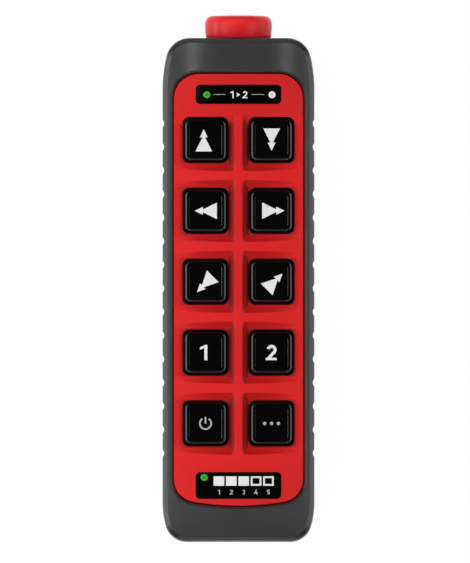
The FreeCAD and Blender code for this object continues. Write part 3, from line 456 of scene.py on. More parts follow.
fasciaSizes = {
    "half": 27.5, "top": 91.7, "bottom": 91.5, "topRound": 10.6, "lowRound": 9.8, "bow": 117.0,
    "crown": 41.0, "edgeRound": 0.4, "under": 33.0, "flangeTop": 34.4, "flange": 1.5,
    # the wells: height of the floor, reach from the key's middle, run of each slope and its bend
    "floor": 37.4, "wellReach": 9.85, "sideRun": 2.65, "sideBend": 0.85, "endRun": 3.15, "endBend": 1.3,
    # the depth at which the end slopes have that run, and how little they change with it
    "endDepth": 2.7, "endEven": 0.27,
    "rampFrom": -3.8, "rampRun": 5.0, "corner": 4.0, "crest": 0.3,
    # painted shade: share of the colour left on the floors, on the side slopes, close beside a key and at
    # both ends
    "floorShade": 0.93, "sideShade": 0.49, "nearShade": 0.68, "headShade": 0.89, "footShade": 0.955,
    "floorFade": 0.15, "slopeTo": 1.02, "slopeFade": 0.1, "nearRun": 1.3,
    "headFrom": 71.5, "footFrom": 71.0, "headRun": 4.0,
    # openings: the keys' half width, the windows' half width, then the middle and half height of each
    "hole": 9.8, "holeRound": 2.9, "windowHalf": 18.2, "windowRound": 1.9,
    "windows": [(82.95, 4.1), (-82.9, 5.7)],
}


# even points from a up to, but not at, b
def between(a, b, count):
    return [(a[0] + (b[0] - a[0]) * k / count, a[1] + (b[1] - a[1]) * k / count) for k in range(count)]


def fasciaLoop(grow, step=1.2):
    s = fasciaSizes
    bowY = s["bow"] - s["bottom"]
    innerX = s["half"] - s["lowRound"]
    reach = s["bow"] - s["lowRound"]
    drop = math.sqrt(reach ** 2 - innerX ** 2)
    lean = math.atan2(-drop, innerX)
    lowY = bowY - drop
    arcs = [
        (0, bowY, s["bow"], -math.pi - lean, lean),
        (innerX, lowY, s["lowRound"], lean, 0.0),
        (s["half"] - s["topRound"], s["top"] - s["topRound"], s["topRound"], 0.0, math.pi / 2),
        (-(s["half"] - s["topRound"]), s["top"] - s["topRound"], s["topRound"], math.pi / 2, math.pi),
        (-innerX, lowY, s["lowRound"], math.pi, math.pi - lean),
    ]
    corners = []
    for cx, cy, radius, start, end in arcs:
        count = max(3, int(abs(end - start) * radius / step))
        for i in range(count + 1):
            turn = start + (end - start) * i / count
            point = (cx + (radius + grow) * math.cos(turn), cy + (radius + grow) * math.sin(turn))
            if not corners or math.dist(point, corners[-1]) > 1e-4:
                corners.append(point)
    if math.dist(corners[0], corners[-1]) < 1e-4:
        corners.pop()
    # the straight runs get points too
    loop = []
    for i, a in enumerate(corners):
        b = corners[(i + 1) % len(corners)]
        count = max(1, round(math.dist(a, b) / (step * 1.25)))
        loop += between(a, b, count)
    return loop


# the lower of two heights, with the edge between them softened
def softLower(a, b, soft):
    share = np.clip(0.5 + 0.5 * (b - a) / soft, 0, 1)
    return b + (a - b) * share - soft * share * (1 - share)


def endRunAt(depth):
    s = fasciaSizes
    return s["endRun"] * (depth / s["endDepth"]) ** s["endEven"]


# The wells run out at the panel's sides, and a long ramp leads down to the first row. Beside the rise above
# the floor this gives the share that the side slopes make, and the way from the key's hole sideways.
def wellRise(points, depth):
    s = fasciaSizes
    rise = np.full(len(points), 1e9)
    lean = np.zeros(len(points))
    gap = np.zeros(len(points))
    for name, cx, cy in keyPlaces:
        across = points[:, 0] - cx
        along = points[:, 1] - cy
        inward = np.maximum(-np.sign(cx) * across - s["wellReach"], 0)
        endward = np.maximum(np.abs(along) - s["wellReach"], 0)
        side = depth * (inward / s["sideRun"]) ** s["sideBend"]
        end = depth * (endward / endRunAt(depth)) ** s["endBend"]
        if name.startswith("row1"):
            ramp = np.maximum(along - s["wellReach"] - s["rampFrom"], 0)
            end = np.where(along > 0, depth * ramp / s["rampRun"], end)
        both = (side ** s["corner"] + end ** s["corner"]) ** (1 / s["corner"])
        better = both < rise
        rise = np.where(better, both, rise)
        lean = np.where(better, side / np.maximum(side + end, 1e-6), lean)
        gap = np.where(better, np.abs(across) - s["hole"], gap)
    return rise, lean, gap


def wellDepth(points):
    return np.maximum(crownHeight(points[:, 0], fasciaSizes["crown"]) - fasciaSizes["floor"], 0.02)


# painted shade for the panel's points: darker on the wells' floors, much darker on the side slopes, darker
# close beside a key and towards both ends of the panel
def wellPaintedShade(points):
    s = fasciaSizes
    depth = wellDepth(points)
    rise, lean, gap = wellRise(points, depth)
    share = rise / depth
    floor = np.clip(1 - share / s["floorFade"], 0, 1)
    below = np.clip((s["slopeTo"] - share) / s["slopeFade"], 0, 1)
    slope = below * (1 - floor) * np.clip(lean * 1.6 - 0.3, 0, 1)
    near = floor * np.clip(1 - gap / s["nearRun"], 0, 1)
    head = np.clip((points[:, 1] - s["headFrom"]) / s["headRun"], 0, 1) * (1 - floor)
    foot = np.clip((-points[:, 1] - s["footFrom"]) / s["headRun"], 0, 1) * (1 - floor)
    tone = np.ones(len(points))
    for part, left in ((floor, "floorShade"), (slope, "sideShade"), (near, "nearShade"), (head, "headShade"),
                       (foot, "footShade")):
        tone *= 1 - part * (1 - s[left])
    return tone


def fasciaHeight(points, rim):
    s = fasciaSizes
    crown = crownHeight(points[:, 0], s["crown"])
    rise, _, _ = wellRise(points, wellDepth(points))
    z = softLower(s["floor"] + rise, crown, s["crest"])
    off = np.clip(s["edgeRound"] - edgeDistance(points, rim), 0, s["edgeRound"])
    return z - (s["edgeRound"] - np.sqrt(s["edgeRound"] ** 2 - off ** 2))


# points of the panel that follow each well's slopes and crests
def wellPoints(name, cx, cy):
    s = fasciaSizes
    sign = math.copysign(1, cx)
    steps = [0.0, 0.12, 0.25, 0.4, 0.6, 0.85, 1.1, 1.4, 1.7]
    nearCrest = [-0.45, -0.28, -0.14, 0.0, 0.14, 0.28, 0.45]
    spots = []
    for y in np.arange(-s["wellReach"], s["wellReach"] + 0.01, s["wellReach"] / 15):
        offsets = steps + [2.0] + [s["sideRun"] + c for c in nearCrest]
        spots += [(cx - sign * (s["wellReach"] + d), cy + y) for d in offsets]
        spots += [(cx + sign * (s["wellReach"] + d), cy + y) for d in (0.2, 0.5, 0.9, 1.4)]
    for x in np.arange(0.4, 27.2, 0.55):
        endRun = endRunAt(max(float(crownHeight(x, s["crown"])) - s["floor"], 0.02))
        for way in (-1, 1):
            if way > 0 and name.startswith("row1"):
                offsets = [s["rampFrom"] + d for d in np.arange(0.0, s["rampRun"] - 0.5, 0.4)]
                offsets += [s["rampFrom"] + s["rampRun"] + c for c in nearCrest]
            else:
                offsets = [d for d in steps + [2.0] if d < endRun - 0.5] + [endRun + c for c in nearCrest]
            spots += [(sign * x, cy + way * (s["wellReach"] + d)) for d in offsets]
    return spots


def makeFascia():
    s = fasciaSizes
    rim = fasciaLoop(0.0)
    holes = [roundedLoop(s["hole"], s["hole"], s["holeRound"], x, y, 8, 10) for _, x, y in keyPlaces]
    holes += [roundedLoop(s["windowHalf"], tall, s["windowRound"], 0, y, 6, 16) for y, tall in s["windows"]]
    extra = []
    for inset in (-0.1, -0.22, -0.4, -1.1):
        extra += fasciaLoop(inset)
    for name, x, y in keyPlaces:
        spots = np.array(wellPoints(name, x, y))
        hole = roundedLoop(s["hole"] + 0.12, s["hole"] + 0.12, s["holeRound"], x, y, 8, 10)
        clear = (edgeDistance(spots, rim) > 1.2) & ~inside(spots, hole)
        extra += [tuple(p) for p in spots[clear]]
    # an even spread over the wells' floors and the ridges
    gx, gy = np.meshgrid(np.arange(-26.0, 26.1, 1.3), np.arange(-91.0, 91.1, 1.3))
    spots = np.stack([gx.ravel(), gy.ravel()], 1)
    free = inside(spots, rim) & (edgeDistance(spots, rim) > 1.5)
    for hole in holes:
        free &= ~inside(spots, hole) & (edgeDistance(spots, hole) > 0.5)
    extra += [tuple(p) for p in spots[free]]
    # a close line down the middle of the centre ridge
    extra += [(0.0, y) for y in np.arange(-69.55, 76.0, 1.0)]
    flange = fasciaLoop(s["flange"])
    skirt = [(rim, s["flangeTop"]), (flange, s["flangeTop"]), (flange, s["under"])]
    verts, faces = shapedSolid(rim, holes, extra, lambda p: fasciaHeight(p, rim), s["under"], skirt)
    piece = addPiece("fasciaPanel", verts, faces, "fascia_red", "housing", ("fascia",),
                     crease=50)
    # the painted shade is kept on the points as a share of the colour
    tone = piece.data.attributes.new("paintedWellShade", "FLOAT", "POINT")
    tone.data.foreach_set("value", wellPaintedShade(np.array([list(v.co) for v in piece.data.vertices]) / mm))
    return piece


makeFascia()
print("fascia panel made")


# key caps: bevelled square tops with a shallow dish, one loft from the stem's tip to the face

keyShape = {
    # the ring from which the face has the inlay's finish, and the rings of its lip, which don't
    "inlayFrom": 18, "lip": (22, 24),
    # half width, corner radius, height; where they differ, the reach up and down the case
    "rings": [
        (2.3, 2.3, 30.4), (2.4, 2.4, 30.5), (2.4, 2.4, 31.0), (4.0, 4.0, 31.0), (4.0, 4.0, 31.6),
        (3.0, 3.0, 31.6), (3.0, 3.0, 35.2), (8.35, 2.25, 35.2), (8.62, 2.45, 35.3), (8.7, 2.5, 35.55),
        (8.7, 2.5, 38.95), (8.69, 2.5, 39.02), (8.55, 2.42, 39.285), (8.52, 2.40, 39.31),
        (8.365, 2.30, 39.381, 8.46, 8.395), (8.21, 2.20, 39.45, 8.40, 8.27),
        (8.055, 2.10, 39.515, 8.34, 8.145), (7.95, 2.03, 39.555, 8.30, 8.06),
        (7.88, 1.98, 39.578, 8.27, 8.01), (7.78, 1.90, 39.595, 8.17, 7.91), (7.5, 1.75, 39.6, 7.9, 7.6),
        (7.06, 1.6, 39.6), (6.98, 1.58, 39.57), (6.85, 1.55, 39.46, 6.95, 6.95),
        (6.74, 1.52, 39.25, 6.86, 6.86), (6.6, 1.48, 39.212, 6.72, 6.72), (6.4, 1.45, 39.2),
        (4.0, 1.2, 39.18), (2.0, 0.7, 39.17),
    ],
}


# the same count and start as a rounded square of 8 steps a corner and 5 a side
def roundLoop(radius, x, y, count):
    loop = []
    for k in range(count):
        turn = math.radians(22.5 - 90.0 + 360.0 * (k - 4) / count)
        loop.append((x + radius * math.cos(turn), y + radius * math.sin(turn)))
    return loop


def capRings(x, y):
    rings = []
    for half, radius, z, *reach in keyShape["rings"]:
        up, down = reach or (half, half)
        if radius < half:
            loop = roundedLoop(half, (up + down) / 2, radius, x, y + (up - down) / 2, 8, 5)
        else:
            loop = roundLoop(half, x, y, 52)
        rings.append([(px, py, z) for px, py in loop])
    return rings


for name, x, y in keyPlaces:
    rings = capRings(x, y)
    verts, faces = loft(rings)
    count = len(rings[0])
    lipFrom, lipTo = (1 + count * ring for ring in keyShape["lip"])
    inlay = [i for i in range(1 + count * keyShape["inlayFrom"], len(faces)) if not lipFrom <= i < lipTo]
    addPiece("keyCap_" + name, verts, faces, "key_black", "key_" + name, ("key_" + name,),
             crease=16, second="inlay", secondFaces=inlay)
print("key caps made")


# legends: thin prints on the dished faces

legendSizes = {
    "face": 39.17, "thick": 0.05, "root": 0.06,
    "bigHalf": 3.52, "bigTall": 7.05, "smallHalf": 1.68, "smallTall": 3.5, "total": 9.45,
    "digitTall": 6.5, "stroke": 1.25,
    # the turn of each arrow and where its middle sits on the face
    "arrows": {"row1_left": (0, -0.72, -0.12), "row1_right": (180, 0.05, 0.15),
               "row2_left": (90, 0.12, 0.0), "row2_right": (-90, 0.76, 0.07),
               "row3_left": (135, -0.25, -1.07), "row3_right": (-45, 1.29, 0.07)},
    "digits": {"row4_left": (1, -0.77, 0.0), "row4_right": (2, 0.0, 0.03)},
    # the power sign on the fifth row's left key, and the dots on its right key
    "ring": 2.4, "ringWide": 0.68, "ringFrom": 125, "ringTo": 415, "bar": (-0.34, -0.1, 0.34, 2.75),
    "dots": (-2.9, 0, 2.9), "dot": 0.72,
}


def arrowOutline():
    s = legendSizes
    low = -s["total"] / 2
    tip = s["total"] / 2
    seat = tip - s["smallTall"]
    neck = s["bigHalf"] * (low + s["bigTall"] - seat) / s["bigTall"]
    return [(-s["bigHalf"], low), (s["bigHalf"], low), (neck, seat), (s["smallHalf"], seat), (0, tip),
            (-s["smallHalf"], seat), (-neck, seat)]


def turned(outline, degrees, x, y):
    a = math.radians(degrees)
    c, s = math.cos(a), math.sin(a)
    return [(x + px * c - py * s, y + px * s + py * c) for px, py in outline]


def boxOutline(x0, y0, x1, y1):
    return [(x0, y0), (x1, y0), (x1, y1), (x0, y1)]


# one solid from outlines that may overlap
def printSolid(outlines, low, high):
    points, rim = [], []
    for outline in outlines:
        start, size = len(points), len(outline)
        points += outline
        rim += [(start + i, start + (i + 1) % size) for i in range(size)]
    spots, _, tris, _, _, _ = delaunay_2d_cdt([Vector(p) for p in points], rim, [], 0, 1e-6, False)
    middles = np.array([list((spots[a] + spots[b] + spots[c]) / 3) for a, b, c in tris])
    keep = np.any([inside(middles, outline) for outline in outlines], axis=0)
    count = len(spots)
    verts = [(p.x, p.y, z) for z in (low, high) for p in spots]
    faces, sides = [], set()
    for tri, good in zip(tris, keep):
        p, q, r = (spots[i] for i in tri)
        turn = (q - p).cross(r - p)
        # slivers along a straight side are left out
        if good and abs(turn) > 5e-5:
            ids = list(tri) if turn > 0 else list(tri)[::-1]
            faces.append([i + count for i in ids])
            faces.append(ids[::-1])
            sides |= set(zip(ids, ids[1:] + ids[:1]))
    for i, j in sorted(sides):
        if (j, i) not in sides:
            faces.append([i, j, j + count, i + count])
    return verts, faces


# both sides of a bent line, mitred at its corners
def strokeOutline(path, wide):
    left, right = [], []
    path = [Vector(p) for p in path]
    for i, p in enumerate(path):
        before = (p - path[i - 1]).normalized() if i > 0 else None
        after = (path[i + 1] - p).normalized() if i < len(path) - 1 else None
        way = before if after is None else after if before is None else (before + after).normalized()
        across = Vector((-way.y, way.x))
        one = before or after
        stretch = 1 / max(0.35, across.dot(Vector((-one.y, one.x))))
        left.append(tuple(p + across * wide / 2 * stretch))
        right.append(tuple(p - across * wide / 2 * stretch))
    return right + left[::-1]


def arcPath(cx, cy, radius, start, end, count):
    turns = [math.radians(start + (end - start) * i / count) for i in range(count + 1)]
    return [(cx + radius * math.cos(a), cy + radius * math.sin(a)) for a in turns]


def discOutline(x, y, radius, count):
    return arcPath(x, y, radius, 0, 360, count)[:-1]


# digits about their middle; sizes are shares of the height
def digitOutlines(digit, tall, wide):
    def scaled(points):
        return [(x * tall, y * tall) for x, y in points]

    if digit == 1:
        left = 0.24 * tall - wide
        right = left + wide
        return [[(left, -tall / 2), (right, -tall / 2), (right, tall / 2), (left + wide * 0.34, tall / 2),
                 (-0.24 * tall, 0.34 * tall), (-0.24 * tall, 0.34 * tall - wide * 0.78),
                 (left, 0.5 * tall - wide)]]
    if digit == 2:
        radius = 0.32 * tall - wide / 2
        path = arcPath(0.01 * tall, 0.5 * tall - wide / 2 - radius, radius, 168, -36, 16)
        path.append((-0.36 * tall + wide * 0.75, -tall / 2 + wide * 0.5))
        bar = boxOutline(-0.38 * tall, -tall / 2, 0.34 * tall, -tall / 2 + wide * 0.8)
        return [strokeOutline(path, wide), bar]
    if digit == 3:
        radius = 0.27 * tall - wide / 2
        upper = arcPath(0, 0.23 * tall, radius, 150, -90, 14)
        lower = arcPath(0, -0.23 * tall, radius, 84, -150, 14)
        return [strokeOutline(upper, wide), strokeOutline(lower, wide)]
    if digit == 4:
        slope = scaled([(0.06, 0.5), (-0.30, -0.18), (0.32, -0.18)])
        stem = scaled([(0.14, 0.12), (0.14, -0.5)])
        return [strokeOutline(slope, wide), strokeOutline(stem, wide)]
    radius = 0.31 * tall - wide / 2
    flag = scaled([(0.26, 0.5 - wide / tall / 2), (-0.22, 0.5 - wide / tall / 2), (-0.24, 0.02)])
    bowl = arcPath(-0.02 * tall, -0.5 * tall + wide / 2 + radius, radius, 142, -140, 16)
    return [strokeOutline(flag, wide), strokeOutline(bowl, wide)]


def digitMark(sizes, digit, x, y):
    return [turned(o, 0, x, y) for o in digitOutlines(digit, sizes["digitTall"], sizes["stroke"])]


def annulus(outer, inner, low, high):
    n = len(outer)
    loops = ((outer, low), (outer, high), (inner, high), (inner, low))
    verts = [(x, y, z) for loop, z in loops for x, y in loop]
    faces = []
    for r in range(4):
        for i in range(n):
            j = (i + 1) % n
            nxt = (r + 1) % 4
            faces.append([r * n + i, r * n + j, nxt * n + j, nxt * n + i])
    return verts, faces


def keyLegend(name, x, y):
    s = legendSizes
    low, high = s["face"] - s["root"], s["face"] + s["thick"]
    if name in s["arrows"]:
        turn, dx, dy = s["arrows"][name]
        return [printSolid([turned(arrowOutline(), turn, x + dx, y + dy)], low, high)], "legend"
    if name in s["digits"]:
        digit, dx, dy = s["digits"][name]
        return [printSolid(digitMark(s, digit, x + dx, y + dy), low, high)], "legend"
    if name == "row5_left":
        ring = strokeOutline(arcPath(x, y, s["ring"], s["ringFrom"], s["ringTo"], 30), s["ringWide"])
        marks = [ring, turned(boxOutline(*s["bar"]), 0, x, y)]
    else:
        marks = [discOutline(x + dx, y, s["dot"], 24) for dx in s["dots"]]
    return [printSolid([mark], low, high) for mark in marks], "legendGrey"


for name, x, y in keyPlaces:
    solids, ink = keyLegend(name, x, y)
    verts, faces = joined(solids)
    addPiece("legend_" + name, verts, faces, ink, "key_" + name, crease=30)
print("legends made")


# windows: dark plates with a softened edge that follow the crown

windowSizes = {
    "half": 18.1, "round": 1.8, "sink": 0.12, "edge": 0.22, "floor": 38.0, "lamp": 1.58,
    # how far a print stands out of the glass and reaches into it
    "printOut": 0.03, "printRoot": 0.06,
}
lampPlaces = {"statusLeft": (-13.4, 82.8), "statusRight": (14.2, 82.8), "lower": (-14.5, -79.5)}


def glassHeight(x):
    return crownHeight(x, fasciaSizes["crown"] - windowSizes["sink"])


def makeWindow(name, cy, tall, lamps, node):
    s = windowSizes
    rim = roundedLoop(s["half"], tall, s["round"], 0, cy, 6, 18)
    holes = [discOutline(x, y, s["lamp"], 28) for x, y in lamps]
    extra = []
    for inset in (0.05, 0.12, 0.22, 0.6):
        extra += roundedLoop(s["half"] - inset, tall - inset, s["round"] - inset, 0, cy, 6, 18)
    for x in np.arange(-16.5, 16.6, 1.5):
        for dy in np.arange(-tall + 1.3, tall - 1.2, 1.3):
            if min(math.dist((x, cy + dy), lamp) for lamp in lamps) > 2.0:
                extra.append((x, cy + dy))

    def top(points):
        off = np.clip(s["edge"] - edgeDistance(points, rim), 0, s["edge"])
        return glassHeight(points[:, 0]) - (s["edge"] - np.sqrt(s["edge"] ** 2 - off ** 2))
    verts, faces = shapedSolid(rim, holes, extra, top, s["floor"])
    return addPiece(name, verts, faces, "window_black", "housing", (node,), crease=40)


statusLamps = [lampPlaces["statusLeft"], lampPlaces["statusRight"]]
makeWindow("statusWindow", 82.95, 4.0, statusLamps, "status_window")
makeWindow("lowerWindow", -82.9, 5.6, [lampPlaces["lower"]], "lower_window")
print("windows made")


# prints on the windows, draped on the crown

def divided(outline, counts):
    points = []
    for a, b, count in zip(outline, outline[1:] + outline[:1], counts):
        points += between(a, b, count)
    return points


# each mark is a list of outlines, or an outer and an inner one for a frame
def drapedPrint(name, marks, ink, step=0.5):
    s = windowSizes
    solids = []
    for mark in marks:
        sides = [zip(o, o[1:] + o[:1]) for o in mark]
        counts = [[max(1, round(math.dist(a, b) / step)) for a, b in pairs] for pairs in sides]
        if isinstance(mark, tuple):
            verts, faces = annulus(*(divided(o, counts[0]) for o in mark), 0.0, 1.0)
        else:
            verts, faces = printSolid([divided(o, c) for o, c in zip(mark, counts)], 0.0, 1.0)
        shaped = []
        for x, y, z in verts:
            shaped.append((x, y, float(glassHeight(x)) + (s["printOut"] if z > 0.5 else -s["printRoot"])))
        solids.append((shaped, faces))
    verts, faces = joined(solids)
    return addPiece(name, verts, faces, ink, "housing", crease=30)


statusPrint = {"lineY": 82.9, "lineHalf": 0.11, "lines": ((-10.6, -5.5), (5.5, 11.0)),
               "markY": 82.8, "digits": ((1, -2.75), (2, 2.75)), "digitTall": 3.0, "stroke": 0.56,
               "arrow": [(-0.75, 81.9), (0.75, 82.8), (-0.75, 83.7)]}
levelGauge = {"firstX": -8.3, "pitch": 5.25, "half": 2.25, "low": -83.0, "high": -79.0, "line": 0.75,
              "cells": 5, "full": 3, "digitY": -85.7, "digitTall": 2.0, "stroke": 0.4}


def printStatus():
    s = statusPrint
    low, high = s["lineY"] - s["lineHalf"], s["lineY"] + s["lineHalf"]
    drapedPrint("statusLines", [[boxOutline(x0, low, x1, high)] for x0, x1 in s["lines"]], "legendGrey")
    marks = [digitMark(s, digit, x, s["markY"]) for digit, x in s["digits"]]
    drapedPrint("statusMarks", marks + [[s["arrow"]]], "legend")


def printGauge():
    s = levelGauge
    cells, digits = [], []
    low, high, line = s["low"], s["high"], s["line"]
    for i in range(s["cells"]):
        x = s["firstX"] + s["pitch"] * i
        left, right = x - s["half"], x + s["half"]
        outer = boxOutline(left, low, right, high)
        inner = boxOutline(left + line, low + line, right - line, high - line)
        cells.append([outer] if i < s["full"] else (outer, inner))
        digits.append(digitMark(s, i + 1, x, s["digitY"]))
    drapedPrint("levelCells", cells, "legend")
    drapedPrint("levelDigits", digits, "legendGrey", 0.3)


printStatus()
printGauge()
print("window prints made")


# lamps: short lenses with a rolled edge and a small dimple

lampShape = {
    "radius": 1.5, "low": 27.4, "count": 36,
    # radius and height over the glass, from the dimple outwards
    "profile": [(0.4, -0.04), (0.58, 0.06), (0.72, 0.16), (0.95, 0.2), (1.2, 0.16), (1.38, 0.04),
                (1.48, -0.15), (1.5, -0.45)],
}


def makeLamp(name, x, y, finish, node):
    s = lampShape
    top = float(glassHeight(x))
    rings = [circle(x, y, s["radius"], s["low"], s["count"])]
    rings += [circle(x, y, radius, top + z, s["count"]) for radius, z in s["profile"][::-1]]
    verts, faces = loft(rings)
    core = range(len(faces) - 1 - 2 * s["count"], len(faces))
    return addPiece(name, verts, faces, finish, "housing", (node,), crease=60,
                    second=finish + "_core", secondFaces=core)


makeLamp("statusLampLeft", *lampPlaces["statusLeft"], "lamp_green", "status_pipe_left")
makeLamp("statusLampRight", *lampPlaces["statusRight"], "lamp_white", "status_pipe_right")
makeLamp("lowerLamp", *lampPlaces["lower"], "lamp_green", "lower_pipe")
print("lamps made")


# the stop button's head, turned about the stop axis

stopShape = {
    "height": 18.9,
    # radius and place along the case, from the socket inside to the end face
    "profile": [
        (0.0, 112.0), (2.5, 112.0), (2.5, 107.3), (2.7, 107.0), (4.8, 107.0), (5.0, 107.2), (5.0, 110.7),
        (5.4, 111.0), (11.0, 111.0), (11.4, 110.6), (11.4, 107.4), (11.8, 107.0), (13.3, 107.0),
        (13.6, 107.1), (13.74, 107.35), (13.9, 108.0), (14.05, 109.0), (14.17, 110.2), (14.24, 111.6),
        (14.25, 112.9), (14.16, 113.8), (13.9, 114.7), (13.45, 115.5), (12.85, 116.05), (12.1, 116.38),
        (11.1, 116.52), (9.0, 116.64), (6.0, 116.74), (3.0, 116.79), (0.0, 116.8),
    ],
}


def latheAlongY(profile, height, count=96, x=0.0):
    verts, faces, rings = [], [], []
    for radius, y in profile:
        if radius < 1e-6:
            rings.append([len(verts)])
            verts.append((x, y, height))
        else:
            rings.append(list(range(len(verts), len(verts) + count)))
            turns = [math.tau * i / count for i in range(count)]
            verts += [(x + radius * math.sin(a), y, height + radius * math.cos(a)) for a in turns]
    for a, b in zip(rings, rings[1:]):
        for i in range(count):
            j = (i + 1) % count
            face = [a[i % len(a)], a[j % len(a)], b[j % len(b)], b[i % len(b)]]
            faces.append([v for k, v in enumerate(face) if v not in face[:k]])
    return verts, faces


verts, faces = latheAlongY(stopShape["profile"], stopShape["height"])
addPiece("stopButton", verts, faces, "stop_red", "stop_head", ("stop_head",), crease=40)
print("stop button made")


# battery cells, seen when the door is off: plain sleeves with a pale band and tinned ends

cellShape = {
    "columns": (-14.6, 0.0, 14.6), "height": 11.0, "count": 64,
    # radius, way from the flat end; the last points from the button's tip
    "low": [(0.0, 0.15), (4.5, 0.15), (4.8, 0.0), (6.3, 0.0), (6.6, 0.06), (7.0, 0.35), (7.1, 0.8)],
    "high": [(7.1, -1.9), (7.0, -1.48), (6.65, -1.22), (6.2, -1.28), (3.0, -1.28), (2.6, -1.2), (2.6, -0.3),
             (2.45, -0.07), (2.1, 0.0), (0.0, 0.0)],
    # rows of faces that are bare metal: so many at the flat end, and from so many past the sleeve's edge
    "bareLow": 4, "bareHigh": 3,
    "band": (-13.0, -3.2), "bandRadius": 7.13, "bandInner": 6.9,
}


def makeCells():
    s = cellShape
    (_, low, _), (_, high, _) = ([c / mm for c in corner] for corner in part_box("battery_cells"))
    profile = [(r, low + y) for r, y in s["low"]] + [(r, high + y) for r, y in s["high"]]
    solids = [latheAlongY(profile, s["height"], s["count"], x) for x in s["columns"]]
    perCell = len(solids[0][1])
    firstBare = len(s["low"]) + s["bareHigh"]
    bare = [k for k in range(perCell) if not s["bareLow"] <= k // s["count"] < firstBare]
    verts, faces = joined(solids)
    ends = [k + perCell * i for i in range(len(s["columns"])) for k in bare]
    addPiece("batteryCells", verts, faces, "cell_wrap", "housing", ("battery_cells",),
             crease=40, second="tin_can", secondFaces=ends)
    first, last = (high + y for y in s["band"])
    inner, outer = s["bandInner"], s["bandRadius"]
    band = [(inner, first), (outer, first), (outer, last), (inner, last), (inner, first)]
    verts, faces = joined([latheAlongY(band, s["height"], s["count"], x) for x in s["columns"]])
    addPiece("cellBands", verts, faces, "legendGrey", "housing", crease=30)


makeCells()
print("battery cells made")


# the stop button's return spring, a coil built at its resting length

springShape = {"radius": 4.1, "wire": 0.35, "turns": 5.0, "steps": 40, "sides": 10, "travel": 4.0,
               # closed turns at each end and their pitch in wire radii
               "dead": 0.75, "deadPitch": 2.1}


def makeSpring():
    s = springShape
    (_, low, lowZ), (_, high, highZ) = ([c / mm for c in corner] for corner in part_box("stop_spring"))
    height = (lowZ + highZ) / 2
    first, last = low + s["wire"], high - s["wire"]
    closed = s["deadPitch"] * s["wire"]
    openTurns = s["turns"] - 2 * s["dead"]
    pitch = (last - first - 2 * closed * s["dead"]) / openTurns
    rings = []
    for k in range(int(s["turns"] * s["steps"]) + 1):
        turn = k / s["steps"]
        y = first + closed * min(turn, s["dead"])
        y += pitch * min(max(turn - s["dead"], 0), openTurns)
        y += closed * max(turn - s["turns"] + s["dead"], 0)
        a = math.tau * turn
        ring = []
        for i in range(s["sides"]):
            b = -math.tau * i / s["sides"]
            out = s["radius"] + s["wire"] * math.cos(b)
            ring.append((out * math.cos(a), y + s["wire"] * math.sin(b), height - out * math.sin(a)))
        rings.append(ring)
    verts, faces = loft(rings)
    spring = addPiece("stopSpring", verts, faces, "spring_steel", "housing",
                      ("stop_spring",), crease=60)
    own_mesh(spring)


makeSpring()
print("return spring made")


# screws with hexagon sockets, seen on the back

def hexLoop(across, x, y, count):
    loop = []
    for i in range(count):
        turn = math.tau * i / count
        radius = across / 2 / math.cos((turn + math.pi / 6) % (math.pi / 3) - math.pi / 6)
        loop.append((x + radius * math.cos(turn), y + radius * math.sin(turn)))
    return loop


def socketScrew(x, y, head, low, high, shank, end, across):
    count = 48
    depth = (high - low) * 0.62
    socket = ((across * 0.5, low + depth), (across, low + depth * 0.86), (across, low + 0.18))
    rings = [[(px, py, z) for px, py in hexLoop(wide, x, y, count)] for wide, z in socket]
    turnedPart = (
        (across * 0.66, low), (head - 0.45, low), (head - 0.18, low + 0.07), (head, low + 0.3),
        (head, high - 0.12), (head - 0.1, high), (shank + 0.2, high), (shank, high + 0.2),
        (shank, end - 0.6), (shank * 0.5, end),
    )
    rings += [circle(x, y, radius, z, count) for radius, z in turnedPart]
    return loft(rings)


screwSizes = {
    "case": {"places": [(20, 100.5), (-20, 100.5), (20, -100.5), (-20, -100.5)],
             "form": {"head": 2.75, "low": 5.6, "high": 8.0, "shank": 1.4, "end": 37.0, "across": 2.5}},
    "door": {"places": [(0, -18.2), (0, -85.8)],
             "form": {"head": 2.9, "low": 0.5, "high": 1.7, "shank": 1.5, "end": 11.0, "across": 2.0}},
}
for kind, body, node in (("case", "housing", "case_screws"), ("door", "battery_door", "door_screws")):
    s = screwSizes[kind]
    verts, faces = joined([socketScrew(x, y, **s["form"]) for x, y in s["places"]])
    addPiece(kind + "Screws", verts, faces, "zinc_steel", body, (node,), crease=30)
print("screws made")


# floor, lights and camera

studio = {
    # name, place, width across, length along, radiance
    "lights": [
        ("stripLeft", (-0.53, 0.50, 1.42), 0.10, 1.00, 4.2),
        ("stripRight", (0.56, 0.50, 1.42), 0.10, 1.00, 2.8),
        ("flankLeft", (-1.10, 0.0, 1.10), 0.45, 1.80, 3.2),
        ("flankRight", (1.10, 0.0, 1.10), 0.45, 1.80, 2.2),
        ("bevelLeft", (-1.30, 0.0, 0.75), 0.10, 1.30, 6.0),
        ("bevelRight", (1.30, 0.0, 0.75), 0.10, 1.30, 4.4),
        ("bandLeft", (-1.40, 0.0, 0.14), 0.26, 1.40, 6.4),
        ("bandRight", (1.40, 0.0, 0.14), 0.26, 1.40, 1.7),
        ("bandLow", (0.0, -1.45, 0.14), 1.40, 0.26, 1.5),
        ("mainHigh", (-0.10, 0.85, 1.30), 1.50, 0.95, 1.15),
        ("mainLow", (-0.10, -0.90, 1.30), 1.50, 0.95, 1.70),
        # two from below, for the back
        ("backHigh", (0.15, 0.80, -1.10), 1.20, 0.80, 5.0),
        ("backLow", (-0.55, -0.70, -1.10), 1.00, 0.80, 3.4),
    ],
    # world brightness from the horizon up to straight overhead
    "sky": [(0.0, 0.10), (0.45, 0.22), (0.75, 0.22), (0.86, 0.03), (1.0, 0.012)],
    # the floor: its colour as paper, its own glow where it is seen, and the share of that glow
    "paper": (0.6, 0.6, 0.6), "floorGlow": 1.03, "floorMix": 0.94,
}
